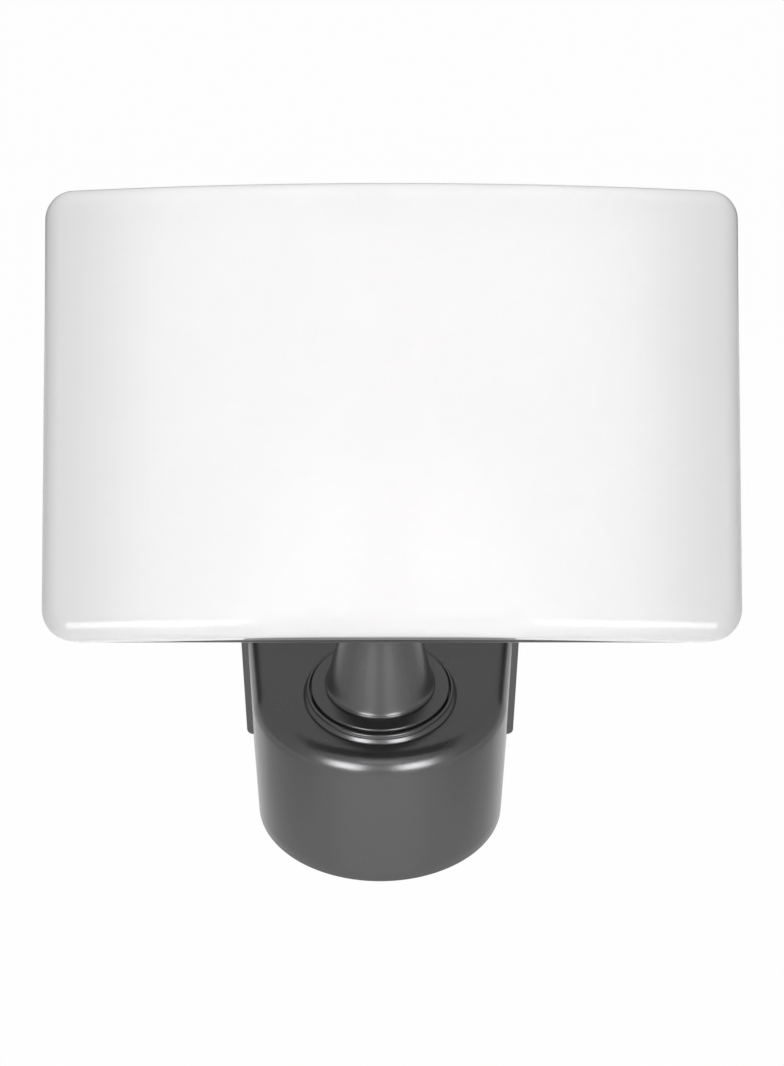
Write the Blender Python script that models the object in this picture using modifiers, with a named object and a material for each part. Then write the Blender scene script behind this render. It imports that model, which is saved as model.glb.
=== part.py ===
"""Enclosed yagi antenna on a swivel-and-tilt wall mount.

Units are metres, +Z is up, +X is the viewer's right and the wall is the plane Y = 0. The world origin is the
centre of the wall plate's back face. Base and stem pieces are written from base_origin, a point on the
swivel axis at the level of the turning disc's top. Head pieces are written from tilt_axis, a point on the tilt
axis, with the head facing -Y, and the empty there tilts them all back together.
"""
import math

import bmesh
import bpy
from mathutils import Matrix

# Fits
SEAT_GAP = 0.0003
PIN_PLAY = 0.0003
GROOVE_WIDTH = 0.0010
COVER_PLAY = 0.0004
SWING_CLEARANCE = 0.0015
CUT_OVERRUN = 0.0100

# Wall plate
PLATE_WIDTH = 0.1628
PLATE_THICKNESS = 0.0040
PLATE_INSET = 0.0020
PLATE_CORNER = 0.0040
LIP_WIDTH = 0.0900
LIP_REACH = 0.0220
LIP_THICKNESS = 0.0025
WALL_HOLE_RADIUS = 0.00275
WALL_HOLE_SPAN = 0.1200
WALL_HOLE_RISE = 0.0530

# Base body, whose plan is an ellipse in front and two sides that flare to the plate
BODY_HEIGHT = 0.0897
BODY_HALF_WIDTH = 0.0700
BODY_BACK_HALF_WIDTH = 0.0776
BODY_FRONT_REACH = 0.0550
AXIS_TO_PLATE = 0.0620
BODY_EDGE_RADIUS = 0.0115
BODY_WALL = 0.0035
BODY_TOP_WALL = 0.0040
COVER_THICKNESS = 0.0030
COVER_SCREW_MARGIN = 0.0130
COVER_SCREW_SETBACK = 0.0300
COVER_POST_RADIUS = 0.0050

# Swivel
DISC_RISE = 0.0068
RING_DROP = 0.0019
RING_WALL = 0.0034
RING_STEP_WIDTH = 0.0016
RING_STEP_DROP = 0.0031
RING_EDGE_RADIUS = 0.0009
DISC_RADIUS = 0.0376
DISC_EDGE_RADIUS = 0.0006
DISC_THICKNESS = 0.0042
SPIGOT_RADIUS = 0.0147
SPIGOT_LENGTH = 0.0340
SPIGOT_BORE = 0.0090
BUSH_WALL = 0.0030
BUSH_FLANGE = 0.0270
BOSS_WALL = 0.0057
BOSS_LENGTH = 0.0120
SPRING_THICKNESS = 0.0010
SPRING_DISH = 0.0006
SPRING_RADIUS = 0.0210
SWIVEL_NUT_ACROSS = 0.0430
SWIVEL_NUT_HEIGHT = 0.0070
STOP_CIRCLE = 0.0310
STOP_PIN_RADIUS = 0.0020
STOP_PIN_DROP = 0.0058
STOP_PIN_SEAT = 0.0032
STOP_PLAY = 0.0006
SWIVEL_RANGE = math.radians(45)

# Stem
STEM_LENGTH = 0.1335
STEM_RADIUS = 0.0175
STEM_BORE = 0.0125
SKIRT_RADIUS = 0.0300
SKIRT_HEIGHT = 0.0040
CONE_RADIUS = 0.0285
CONE_HEIGHT = 0.0487
CONE_BLEND = 0.0170
STEM_SCREW_CIRCLE = 0.0200
STEM_SCREW_DEPTH = 0.0120

# Tilt hinge, a tongue on the stem beside a lug on the head
HINGE_RADIUS = 0.0170
LUG_THICKNESS = 0.0110
SHOULDER_HEIGHT = 0.0035
TONGUE_FOOT = 0.0120
PLUG_LENGTH = 0.0250
KNUCKLE_PIN_RADIUS = 0.0020
KNUCKLE_PIN_DROP = 0.0130
BOLT_RADIUS = 0.0049
BOLT_HEAD_RADIUS = 0.0090
BOLT_HEAD_HEIGHT = 0.0055
BOLT_TAIL = 0.0020
FRICTION_THICKNESS = 0.0014
TILT_WASHER_THICKNESS = 0.0018
TILT_WASHER_RADIUS = 0.0100
TILT_NUT_ACROSS = 0.0170
TILT_NUT_HEIGHT = 0.0070
HEAD_TILT = math.radians(42)

# Head shells
HEAD_OFFSET = 0.0052
HEAD_HEIGHT = 0.2044
HEAD_TOP_HALF_WIDTH = 0.1574
HEAD_BOTTOM_HALF_WIDTH = 0.1538
HEAD_CROWN = 0.0120
HEAD_ARCH = 0.0016
HEAD_TOP_CORNER = 0.0128
HEAD_BOTTOM_CORNER = 0.0152
HEAD_WALL = 0.0025
HEAD_COLUMNS = 14
FACE_REACH = 0.0820
RADOME_DEPTH = 0.0300
RADOME_EDGE_RADIUS = 0.0090
GASKET_THICKNESS = 0.0014
GASKET_WIDTH = 0.0025
GASKET_INSET = 0.0009
BACK_DEPTH = 0.0180
BACK_INSET = 0.0011
BACK_EDGE_RADIUS = 0.0080
SHELL_POST_INSET = 0.0160
SHELL_POST_RADIUS = 0.0062
RADOME_POST_RADIUS = 0.0050
SHELL_POST_FLOOR = 0.0040

# Bracket on the head's back
BRACKET_WIDTH = 0.0700
BRACKET_HEIGHT = 0.0600
BRACKET_THICKNESS = 0.0050
BRACKET_CORNER = 0.0050
BRACKET_SCREW_MARGIN = 0.0075
GUSSET_RISE = 0.0070
GUSSET_REACH = 0.0060

# Array inside the head
STANDOFF_RADIUS = 0.0040
STANDOFF_LENGTH = 0.0072
REFLECTOR_THICKNESS = 0.0015
REFLECTOR_MARGIN = 0.0020
BOARD_WIDTH = 0.2100
BOARD_HEIGHT = 0.1240
BOARD_THICKNESS = 0.0016
BOARD_LIFT = 0.0022
BOARD_HOLE_PLAY = 0.0004
BAY_PITCH_ACROSS = 0.1360
BAY_PITCH_UP = 0.0840
COMB_THICKNESS = 0.0015
BOOM_WIDTH = 0.0080
DIRECTOR_WIDTH = 0.0040
DIRECTOR_SPACING = 0.0100
FIRST_DIRECTOR_LENGTH = 0.0510
SECOND_DIRECTOR_LENGTH = 0.0480
DIRECTOR_CLEARANCE = 0.0020
DIPOLE_LENGTH = 0.0580
DIPOLE_FOLD = 0.0080
DIPOLE_SPACING = 0.0095
DIPOLE_RISE = 0.0060
DIPOLE_WIRE = 0.0012
DIPOLE_FEED_GAP = 0.0060
FEED_SLOT_PLAY = 0.0018

# Antenna socket
SOCKET_ACROSS = 0.0700
SOCKET_DOWN = 0.0520
SOCKET_RADIUS = 0.0048
SOCKET_FLANGE = 0.0070
SOCKET_LENGTH = 0.0120
SOCKET_BORE = 0.0022
SOCKET_BORE_DEPTH = 0.0070
SOCKET_NUT_ACROSS = 0.0125
SOCKET_NUT_HEIGHT = 0.0024

# Screws: head radius, head height, shank radius
COVER_SCREW = (0.0032, 0.0015, 0.0015)
STEM_SCREW = (0.0034, 0.0015, 0.0017)
BRACKET_SCREW = (0.0038, 0.0024, 0.0019)
SHELL_SCREW = (0.0034, 0.0022, 0.0017)
COVER_SCREW_LENGTH = 0.0120
LOCK_SCREW_LENGTH = 0.0065
SHELL_SCREW_LENGTH = 0.0160
SCREW_HEAD_PLAY = 0.0005

# Facets
ROUND_STEPS = 32
SMALL_STEPS = 10
ARC_STEPS = 4

# Levels measured up from the turning disc's top
BODY_TOP = -DISC_RISE
BODY_BOTTOM = BODY_TOP - BODY_HEIGHT
CEILING = BODY_TOP - BODY_TOP_WALL
COVER_TOP = BODY_BOTTOM + COVER_THICKNESS
PLATE_TOP = BODY_TOP - PLATE_INSET
PLATE_BOTTOM = BODY_BOTTOM + PLATE_INSET
BOSS_BOTTOM = CEILING - BOSS_LENGTH
KNUCKLE_FOOT = STEM_LENGTH + SEAT_GAP
HINGE_RISE = KNUCKLE_FOOT + SHOULDER_HEIGHT + SWING_CLEARANCE + HINGE_RADIUS

# Depths measured back from the tilt axis, with the head facing -Y
FACE = -FACE_REACH
SPLIT = FACE + RADOME_DEPTH
RIM = SPLIT + GASKET_THICKNESS + 2 * SEAT_GAP
BACK = RIM + BACK_DEPTH
INNER_BACK = BACK - HEAD_WALL
BRACKET_FRONT = BACK + SEAT_GAP
BRACKET_BACK = BRACKET_FRONT + BRACKET_THICKNESS
BOARD_BACK = INNER_BACK - BOARD_LIFT
BOARD_FRONT = BOARD_BACK - BOARD_THICKNESS
STANDOFF_BACK = INNER_BACK - SEAT_GAP
STANDOFF_FRONT = STANDOFF_BACK - STANDOFF_LENGTH
REFLECTOR_BACK = STANDOFF_FRONT - SEAT_GAP
REFLECTOR_FRONT = REFLECTOR_BACK - REFLECTOR_THICKNESS

# Stations along the tilt axis
LAP = FRICTION_THICKNESS / 2 + SEAT_GAP
LAP_OUTER = LAP + LUG_THICKNESS

AXIS_TURN = {
    "X": Matrix.Rotation(math.pi / 2, 4, "Y"),
    "Y": Matrix.Rotation(-math.pi / 2, 4, "X"),
    "Z": Matrix.Identity(4),
}

for old_object in list(bpy.data.objects):
    bpy.data.objects.remove(old_object, do_unlink=True)

PARTS = bpy.data.collections.new("yagi_antenna")
TOOLS = bpy.data.collections.new("cutters")
bpy.context.scene.collection.children.link(PARTS)
bpy.context.scene.collection.children.link(TOOLS)


def finish(name, colour, roughness, metallic):
    """A plain Principled material."""
    material = bpy.data.materials.new(name)
    material.use_nodes = True
    shader = material.node_tree.nodes["Principled BSDF"]
    shader.inputs["Base Color"].default_value = (*colour, 1.0)
    shader.inputs["Roughness"].default_value = roughness
    shader.inputs["Metallic"].default_value = metallic
    return material


GREY_PAINT = finish("grey_metallic_paint", (0.105, 0.105, 0.107), 0.38, 0.55)
WHITE_GLOSS = finish("white_gloss_cover", (0.88, 0.88, 0.88), 0.12, 0.0)
DARK_PLASTIC = finish("dark_plastic", (0.055, 0.055, 0.058), 0.45, 0.0)
STEEL = finish("zinc_steel", (0.55, 0.55, 0.56), 0.32, 1.0)
ALUMINIUM = finish("aluminium_sheet", (0.72, 0.73, 0.74), 0.35, 1.0)
BRASS = finish("brass", (0.72, 0.55, 0.26), 0.30, 1.0)
RUBBER = finish("black_rubber", (0.03, 0.03, 0.03), 0.75, 0.0)
NYLON = finish("nylon", (0.70, 0.69, 0.64), 0.50, 0.0)
LAMINATE = finish("board_laminate", (0.06, 0.22, 0.11), 0.45, 0.0)


def empty(name, location, tilt=0.0, parent=None):
    """An axis that pieces hang from."""
    axis = bpy.data.objects.new(name, None)
    axis.location = location
    axis.rotation_euler = (tilt, 0.0, 0.0)
    axis.parent = parent
    PARTS.objects.link(axis)
    return axis


BASE = empty("base_origin", (0.0, -(AXIS_TO_PLATE + PLATE_THICKNESS), BODY_HEIGHT / 2 + DISC_RISE))
SWIVEL = empty("swivel_axis", (0.0, 0.0, 0.0), parent=BASE)
TILT = empty("tilt_axis", (0.0, 0.0, HINGE_RISE), tilt=-HEAD_TILT, parent=SWIVEL)


def part(name, mesh, material, parent):
    """A visible sub-part."""
    mesh.shade_smooth()
    mesh.set_sharp_from_angle(angle=math.radians(35))
    mesh.materials.append(material)
    piece = bpy.data.objects.new(name, mesh)
    piece.parent = parent
    PARTS.objects.link(piece)
    return piece


def tool(name, mesh, parent):
    """A hidden solid that cuts or joins others."""
    guide = bpy.data.objects.new(name, mesh)
    guide.parent = parent
    guide.hide_render = True
    guide.display_type = "WIRE"
    TOOLS.objects.link(guide)
    return guide


def join(target, operation, *guides):
    """Boolean modifiers, one for each guide solid."""
    for guide in guides:
        modifier = target.modifiers.new(guide.name, "BOOLEAN")
        modifier.operation = operation
        modifier.solver = "EXACT"
        modifier.object = guide
    return target


def to_mesh(name, shape):
    """A finished bmesh as a mesh with its faces outwards."""
    bmesh.ops.recalc_face_normals(shape, faces=shape.faces)
    mesh = bpy.data.meshes.new(name)
    shape.to_mesh(mesh)
    shape.free()
    return mesh


def placed(axis, along, across):
    """A point from its distance along one axis and its place on the other two."""
    first, second = across
    points = {
        "X": (along, first, second),
        "Y": (first, along, second),
        "Z": (first, second, along),
    }
    return points[axis]


def rods(name, radius, low, high, axis, places, sides=SMALL_STEPS, turn=0.0):
    """Round or many-sided rods along one axis at the given places."""
    shape = bmesh.new()
    for place in places:
        centre = Matrix.Translation(placed(axis, (low + high) / 2, place))
        spin = Matrix.Rotation(turn, 4, "Z")
        bmesh.ops.create_cone(
            shape, cap_ends=True, segments=sides, radius1=radius, radius2=radius,
            depth=high - low, matrix=centre @ AXIS_TURN[axis] @ spin)
    return to_mesh(name, shape)


def boxes(name, ranges):
    """Boxes, each from three (low, high) ranges."""
    shape = bmesh.new()
    for spans in ranges:
        sizes = [high - low for low, high in spans]
        middle = [(high + low) / 2 for low, high in spans]
        bmesh.ops.create_cube(shape, size=1.0, matrix=Matrix.Translation(middle) @ Matrix.Diagonal((*sizes, 1.0)))
    return to_mesh(name, shape)


def rounded_plate(name, spans, axis, radius):
    """A box whose four edges along one axis are rounded."""
    shape = bmesh.new()
    shape.from_mesh(boxes(name + "_blank", [spans]))
    index = "XYZ".index(axis)
    edges = [edge for edge in shape.edges
             if abs(edge.verts[0].co[index] - edge.verts[1].co[index]) > SEAT_GAP]
    bmesh.ops.bevel(shape, geom=edges, offset=radius, segments=ARC_STEPS, profile=0.5, affect="EDGES")
    return to_mesh(name, shape)


def prism(outline, low, high, axis="Z"):
    """A flat outline carried along an axis, as a bmesh."""
    shape = bmesh.new()
    base = shape.faces.new([shape.verts.new(placed(axis, low, point)) for point in outline])
    moved = bmesh.ops.extrude_face_region(shape, geom=[base])["geom"]
    corners = [item for item in moved if isinstance(item, bmesh.types.BMVert)]
    bmesh.ops.translate(shape, verts=corners, vec=placed(axis, high - low, (0.0, 0.0)))
    return shape


def turned(name, profile, closed):
    """A profile of (radius, height) points, running down its outer side, for a Screw modifier."""
    points = [(radius, 0.0, height) for radius, height in profile]
    edges = [(index, index + 1) for index in range(len(points) - 1)]
    if closed:
        edges.append((len(points) - 1, 0))
    mesh = bpy.data.meshes.new(name)
    mesh.from_pydata(points, edges, [])
    return mesh


def spin(piece, steps=ROUND_STEPS):
    """The Screw modifier that turns a profile round its own Z axis."""
    screw = piece.modifiers.new("turn", "SCREW")
    screw.steps = steps
    screw.render_steps = steps
    screw.use_merge_vertices = True
    screw.merge_threshold = 0.00001
    return piece


def turned_part(name, profile, material, parent, closed=True, steps=ROUND_STEPS, at=(0.0, 0.0, 0.0), axis="Z"):
    """A turned sub-part, placed on its own axis."""
    piece = part(name, turned(name, profile, closed), material, parent)
    piece.location = at
    piece.rotation_euler = AXIS_TURN[axis].to_euler()
    return spin(piece, steps)


def tube_profile(inner, outer, low, high):
    """The profile of a plain tube."""
    return [(outer, high), (outer, low), (inner, low), (inner, high)]


def arc(centre, radius, start, end, steps):
    """Points on an arc, angles in radians."""
    across, up = centre
    angles = [start + (end - start) * step / steps for step in range(steps + 1)]
    return [(across + radius * math.cos(angle), up + radius * math.sin(angle)) for angle in angles]


def bend(start, corner, end, steps):
    """Points on a quadratic curve that rounds a corner."""
    points = []
    for step in range(steps + 1):
        late = step / steps
        early = 1.0 - late
        weights = (early * early, 2 * early * late, late * late)
        points.append(tuple(sum(weight * point[axis] for weight, point in zip(weights, (start, corner, end)))
                            for axis in range(2)))
    return points


def screw_part(name, kind, length, material, parent, at, facing):
    """A screw whose head sits on the point given and faces along one axis, its shank going the other way."""
    head_radius, head_height, shank_radius = kind
    profile = [(0.0, head_height), (head_radius * 0.7, head_height), (head_radius, head_height * 0.45),
               (head_radius, 0.0), (shank_radius, 0.0), (shank_radius, -length), (0.0, -length)]
    turns = {"-Z": (math.pi, 0.0, 0.0), "+Y": (-math.pi / 2, 0.0, 0.0)}
    piece = part(name, turned(name, profile, False), material, parent)
    piece.location = at
    piece.rotation_euler = turns[facing]
    return spin(piece, SMALL_STEPS)


def nut_part(name, across, low, high, bore, axis, place, material, parent):
    """A hexagon nut with a plain bore."""
    corner = across / math.sqrt(3)
    nut = part(name, rods(name, corner, low, high, axis, [place], sides=6), material, parent)
    hole = rods(name + "_bore", bore, low - CUT_OVERRUN, high + CUT_OVERRUN, axis, [place], sides=24)
    return join(nut, "DIFFERENCE", tool(name + "_bore", hole, parent))


# Base


def body_outline(inset, back):
    """The body's plan: straight flared sides from the plate to the axis, then a tangent ellipse in front."""
    half = BODY_HALF_WIDTH - inset
    reach = BODY_FRONT_REACH - inset
    flare = (BODY_BACK_HALF_WIDTH - BODY_HALF_WIDTH) / AXIS_TO_PLATE
    share = flare * reach / half
    last_cosine = share / (1.0 - share)
    last = math.acos(last_cosine)
    depth = reach / (1.0 - last_cosine)
    width = half / math.sin(last)
    steps = ROUND_STEPS
    angles = [last - 2.0 * last * step / steps for step in range(steps + 1)]
    front = [(width * math.sin(angle), depth * (last_cosine - math.cos(angle))) for angle in angles]
    return [(half + flare * back, back), *front, (-half - flare * back, back)]


def body_block(name, inset, back, low, high, edge_radius):
    """The body's plan between two levels, with its top edge rolled over all round but at the back."""
    shape = prism(body_outline(inset, back), low, high)
    rolled = []
    for edge in shape.edges:
        first, second = (vertex.co for vertex in edge.verts)
        at_top = min(first.z, second.z) > high - SEAT_GAP
        at_back = min(first.y, second.y) > back - SEAT_GAP
        if at_top and not at_back:
            rolled.append(edge)
    bmesh.ops.bevel(shape, geom=rolled, offset=edge_radius, segments=ARC_STEPS + 1, profile=0.5, affect="EDGES")
    return to_mesh(name, shape)


def cover_screw_places():
    """Two screws at the sides behind the axis and one in front."""
    side = BODY_HALF_WIDTH - COVER_SCREW_MARGIN
    return [(-side, COVER_SCREW_SETBACK), (side, COVER_SCREW_SETBACK),
            (0.0, COVER_SCREW_MARGIN - BODY_FRONT_REACH)]


def lock_screw_places():
    """Two screws through the plate's lower lip."""
    side = LIP_WIDTH / 2 - COVER_SCREW_MARGIN
    return [(-side, AXIS_TO_PLATE - LIP_REACH / 2), (side, AXIS_TO_PLATE - LIP_REACH / 2)]


def stop_slot(name):
    """The curved slot that the stop pin runs in, centred towards the wall."""
    half_width = STOP_PIN_RADIUS + STOP_PLAY
    reach = SWIVEL_RANGE + half_width / STOP_CIRCLE
    start = math.pi / 2 - reach
    end = math.pi / 2 + reach
    outline = arc((0.0, 0.0), STOP_CIRCLE + half_width, start, end, ROUND_STEPS // 2)
    outline += arc((0.0, 0.0), STOP_CIRCLE - half_width, end, start, ROUND_STEPS // 2)
    return to_mesh(name, prism(outline, CEILING - CUT_OVERRUN, BODY_TOP + CUT_OVERRUN))


def build_base():
    """The fixed pieces: plate, housing, cover, ring, bush and spring washer."""
    lips = [(-LIP_WIDTH / 2, LIP_WIDTH / 2), (AXIS_TO_PLATE - LIP_REACH, AXIS_TO_PLATE + PLATE_THICKNESS / 2)]
    upper = (CEILING - SEAT_GAP - LIP_THICKNESS, CEILING - SEAT_GAP)
    lower = (COVER_TOP + SEAT_GAP, COVER_TOP + SEAT_GAP + LIP_THICKNESS)
    spans = [(-PLATE_WIDTH / 2, PLATE_WIDTH / 2), (AXIS_TO_PLATE, AXIS_TO_PLATE + PLATE_THICKNESS),
             (PLATE_BOTTOM, PLATE_TOP)]
    plate = part("mounting_plate", rounded_plate("mounting_plate", spans, "Y", PLATE_CORNER), GREY_PAINT, BASE)
    middle = (PLATE_TOP + PLATE_BOTTOM) / 2
    wall_holes = [(side * WALL_HOLE_SPAN / 2, middle + rise * WALL_HOLE_RISE / 2)
                  for side in (-1, 1) for rise in (-1, 1)]
    join(plate, "UNION", tool("plate_lips", boxes("plate_lips", [[*lips, upper], [*lips, lower]]), BASE))
    drill = rods("wall_holes", WALL_HOLE_RADIUS, AXIS_TO_PLATE - CUT_OVERRUN / 2,
                 AXIS_TO_PLATE + PLATE_THICKNESS + CUT_OVERRUN, "Y", wall_holes)
    shank = COVER_SCREW[2] + PIN_PLAY
    lip_drill = rods("lip_holes", shank, BODY_BOTTOM - CUT_OVERRUN, COVER_TOP + CUT_OVERRUN, "Z",
                     lock_screw_places())
    join(plate, "DIFFERENCE", tool("wall_holes", drill, BASE), tool("lip_holes", lip_drill, BASE))

    back = AXIS_TO_PLATE - SEAT_GAP
    housing = part("base_housing", body_block("base_housing", 0.0, back, BODY_BOTTOM, BODY_TOP, BODY_EDGE_RADIUS),
                   GREY_PAINT, BASE)
    cavity = tool("housing_cavity", body_block("housing_cavity", BODY_WALL, back + CUT_OVERRUN,
                                               BODY_BOTTOM - CUT_OVERRUN, CEILING,
                                               BODY_EDGE_RADIUS - BODY_WALL), BASE)
    bush_radius = SPIGOT_RADIUS + PIN_PLAY + BUSH_WALL
    bush_hole = bush_radius + PIN_PLAY
    boss = rods("bearing_boss", bush_hole + BOSS_WALL, BOSS_BOTTOM, BODY_TOP + CUT_OVERRUN, "Z", [(0.0, 0.0)],
                sides=ROUND_STEPS)
    posts = rods("cover_posts", COVER_POST_RADIUS, COVER_TOP + SEAT_GAP, BODY_TOP + CUT_OVERRUN, "Z",
                 cover_screw_places())
    join(cavity, "DIFFERENCE", tool("bearing_boss", boss, BASE), tool("cover_posts", posts, BASE))
    bearing_hole = rods("bearing_hole", bush_hole, BOSS_BOTTOM - CUT_OVERRUN, BODY_TOP + CUT_OVERRUN, "Z",
                        [(0.0, 0.0)], sides=ROUND_STEPS)
    post_holes = rods("post_holes", shank, BODY_BOTTOM, COVER_TOP + COVER_SCREW_LENGTH + PIN_PLAY, "Z",
                      cover_screw_places())
    join(housing, "DIFFERENCE", cavity, tool("bearing_hole", bearing_hole, BASE),
         tool("post_holes", post_holes, BASE), tool("stop_slot", stop_slot("stop_slot"), BASE))

    cover_outline = body_outline(BODY_WALL + COVER_PLAY, back)
    cover = part("bottom_cover", to_mesh("bottom_cover", prism(cover_outline, BODY_BOTTOM, COVER_TOP)),
                 GREY_PAINT, BASE)
    all_places = cover_screw_places() + lock_screw_places()
    seat = BODY_BOTTOM + COVER_SCREW[1] + SCREW_HEAD_PLAY
    cover_holes = rods("cover_holes", shank, BODY_BOTTOM - CUT_OVERRUN, COVER_TOP + CUT_OVERRUN, "Z", all_places)
    sinks = rods("cover_sinks", COVER_SCREW[0] + SCREW_HEAD_PLAY, BODY_BOTTOM - CUT_OVERRUN, seat, "Z", all_places)
    join(cover, "DIFFERENCE", tool("cover_holes", cover_holes, BASE), tool("cover_sinks", sinks, BASE))
    for count, place in enumerate(cover_screw_places(), start=1):
        screw_part(f"cover_screw_{count}", COVER_SCREW, COVER_SCREW_LENGTH, STEEL, BASE,
                   (*place, seat - SEAT_GAP), "-Z")
    for count, place in enumerate(lock_screw_places(), start=1):
        screw_part(f"lock_screw_{count}", COVER_SCREW, LOCK_SCREW_LENGTH, STEEL, BASE,
                   (*place, seat - SEAT_GAP), "-Z")

    ring_inner = DISC_RADIUS + GROOVE_WIDTH
    ring_outer = ring_inner + RING_WALL
    step_outer = ring_outer - RING_STEP_WIDTH
    upper_edge = arc((step_outer - RING_EDGE_RADIUS, -RING_DROP - RING_EDGE_RADIUS), RING_EDGE_RADIUS,
                     math.pi / 2, 0.0, ARC_STEPS)
    step_top = -RING_DROP - RING_STEP_DROP
    lower_edge = arc((ring_outer - RING_EDGE_RADIUS, step_top - RING_EDGE_RADIUS), RING_EDGE_RADIUS,
                     math.pi / 2, 0.0, ARC_STEPS)
    ring = [*upper_edge, (step_outer, step_top), *lower_edge, (ring_outer, BODY_TOP + SEAT_GAP),
            (ring_inner, BODY_TOP + SEAT_GAP), (ring_inner, -RING_DROP)]
    turned_part("bearing_ring", ring, GREY_PAINT, BASE)

    flange_low = BODY_TOP + SEAT_GAP
    flange_high = -DISC_THICKNESS - SEAT_GAP
    bush_bore = SPIGOT_RADIUS + PIN_PLAY
    bush = [(BUSH_FLANGE, flange_high), (BUSH_FLANGE, flange_low), (bush_radius, flange_low),
            (bush_radius, BOSS_BOTTOM), (bush_bore, BOSS_BOTTOM), (bush_bore, flange_high)]
    turned_part("swivel_bush", bush, NYLON, BASE)

    spring_top = BOSS_BOTTOM - SEAT_GAP
    spring = [(SPRING_RADIUS, spring_top), (SPRING_RADIUS, spring_top - SPRING_THICKNESS),
              (bush_bore, spring_top - SPRING_DISH - SPRING_THICKNESS), (bush_bore, spring_top - SPRING_DISH)]
    turned_part("spring_washer", spring, STEEL, BASE)


# Stem


def stem_screw_places():
    """Screws on a circle round the swivel axis."""
    angles = [math.pi / 2 + turn * 2 * math.pi / 3 for turn in range(3)]
    return [(STEM_SCREW_CIRCLE * math.cos(angle), STEM_SCREW_CIRCLE * math.sin(angle)) for angle in angles]


def stem_profile():
    """A plain column that opens into a cone and ends in a rounded skirt."""
    corner = (STEM_RADIUS, SKIRT_HEIGHT + CONE_HEIGHT)
    share = CONE_BLEND / CONE_HEIGHT
    blend_foot = (STEM_RADIUS + share * (CONE_RADIUS - STEM_RADIUS), corner[1] - CONE_BLEND)
    blend = bend((STEM_RADIUS, corner[1] + CONE_BLEND), corner, blend_foot, 2 * ARC_STEPS)
    skirt_round = SKIRT_RADIUS - CONE_RADIUS
    skirt = arc((CONE_RADIUS, SKIRT_HEIGHT - skirt_round), skirt_round, math.pi / 2, 0.0, ARC_STEPS)
    outer = [(STEM_RADIUS, STEM_LENGTH), *blend, *skirt, (SKIRT_RADIUS, SEAT_GAP)]
    return [*outer, (STEM_BORE, SEAT_GAP), (STEM_BORE, STEM_LENGTH)]


def tongue_outline(foot):
    """The knuckle's tongue seen along the tilt axis: a round end on sides that draw in to the shoulder."""
    end = arc((0.0, HINGE_RISE), HINGE_RADIUS, math.radians(-15), math.radians(195), 3 * ARC_STEPS)
    return [(TONGUE_FOOT, foot), *end, (-TONGUE_FOOT, foot)]


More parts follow.
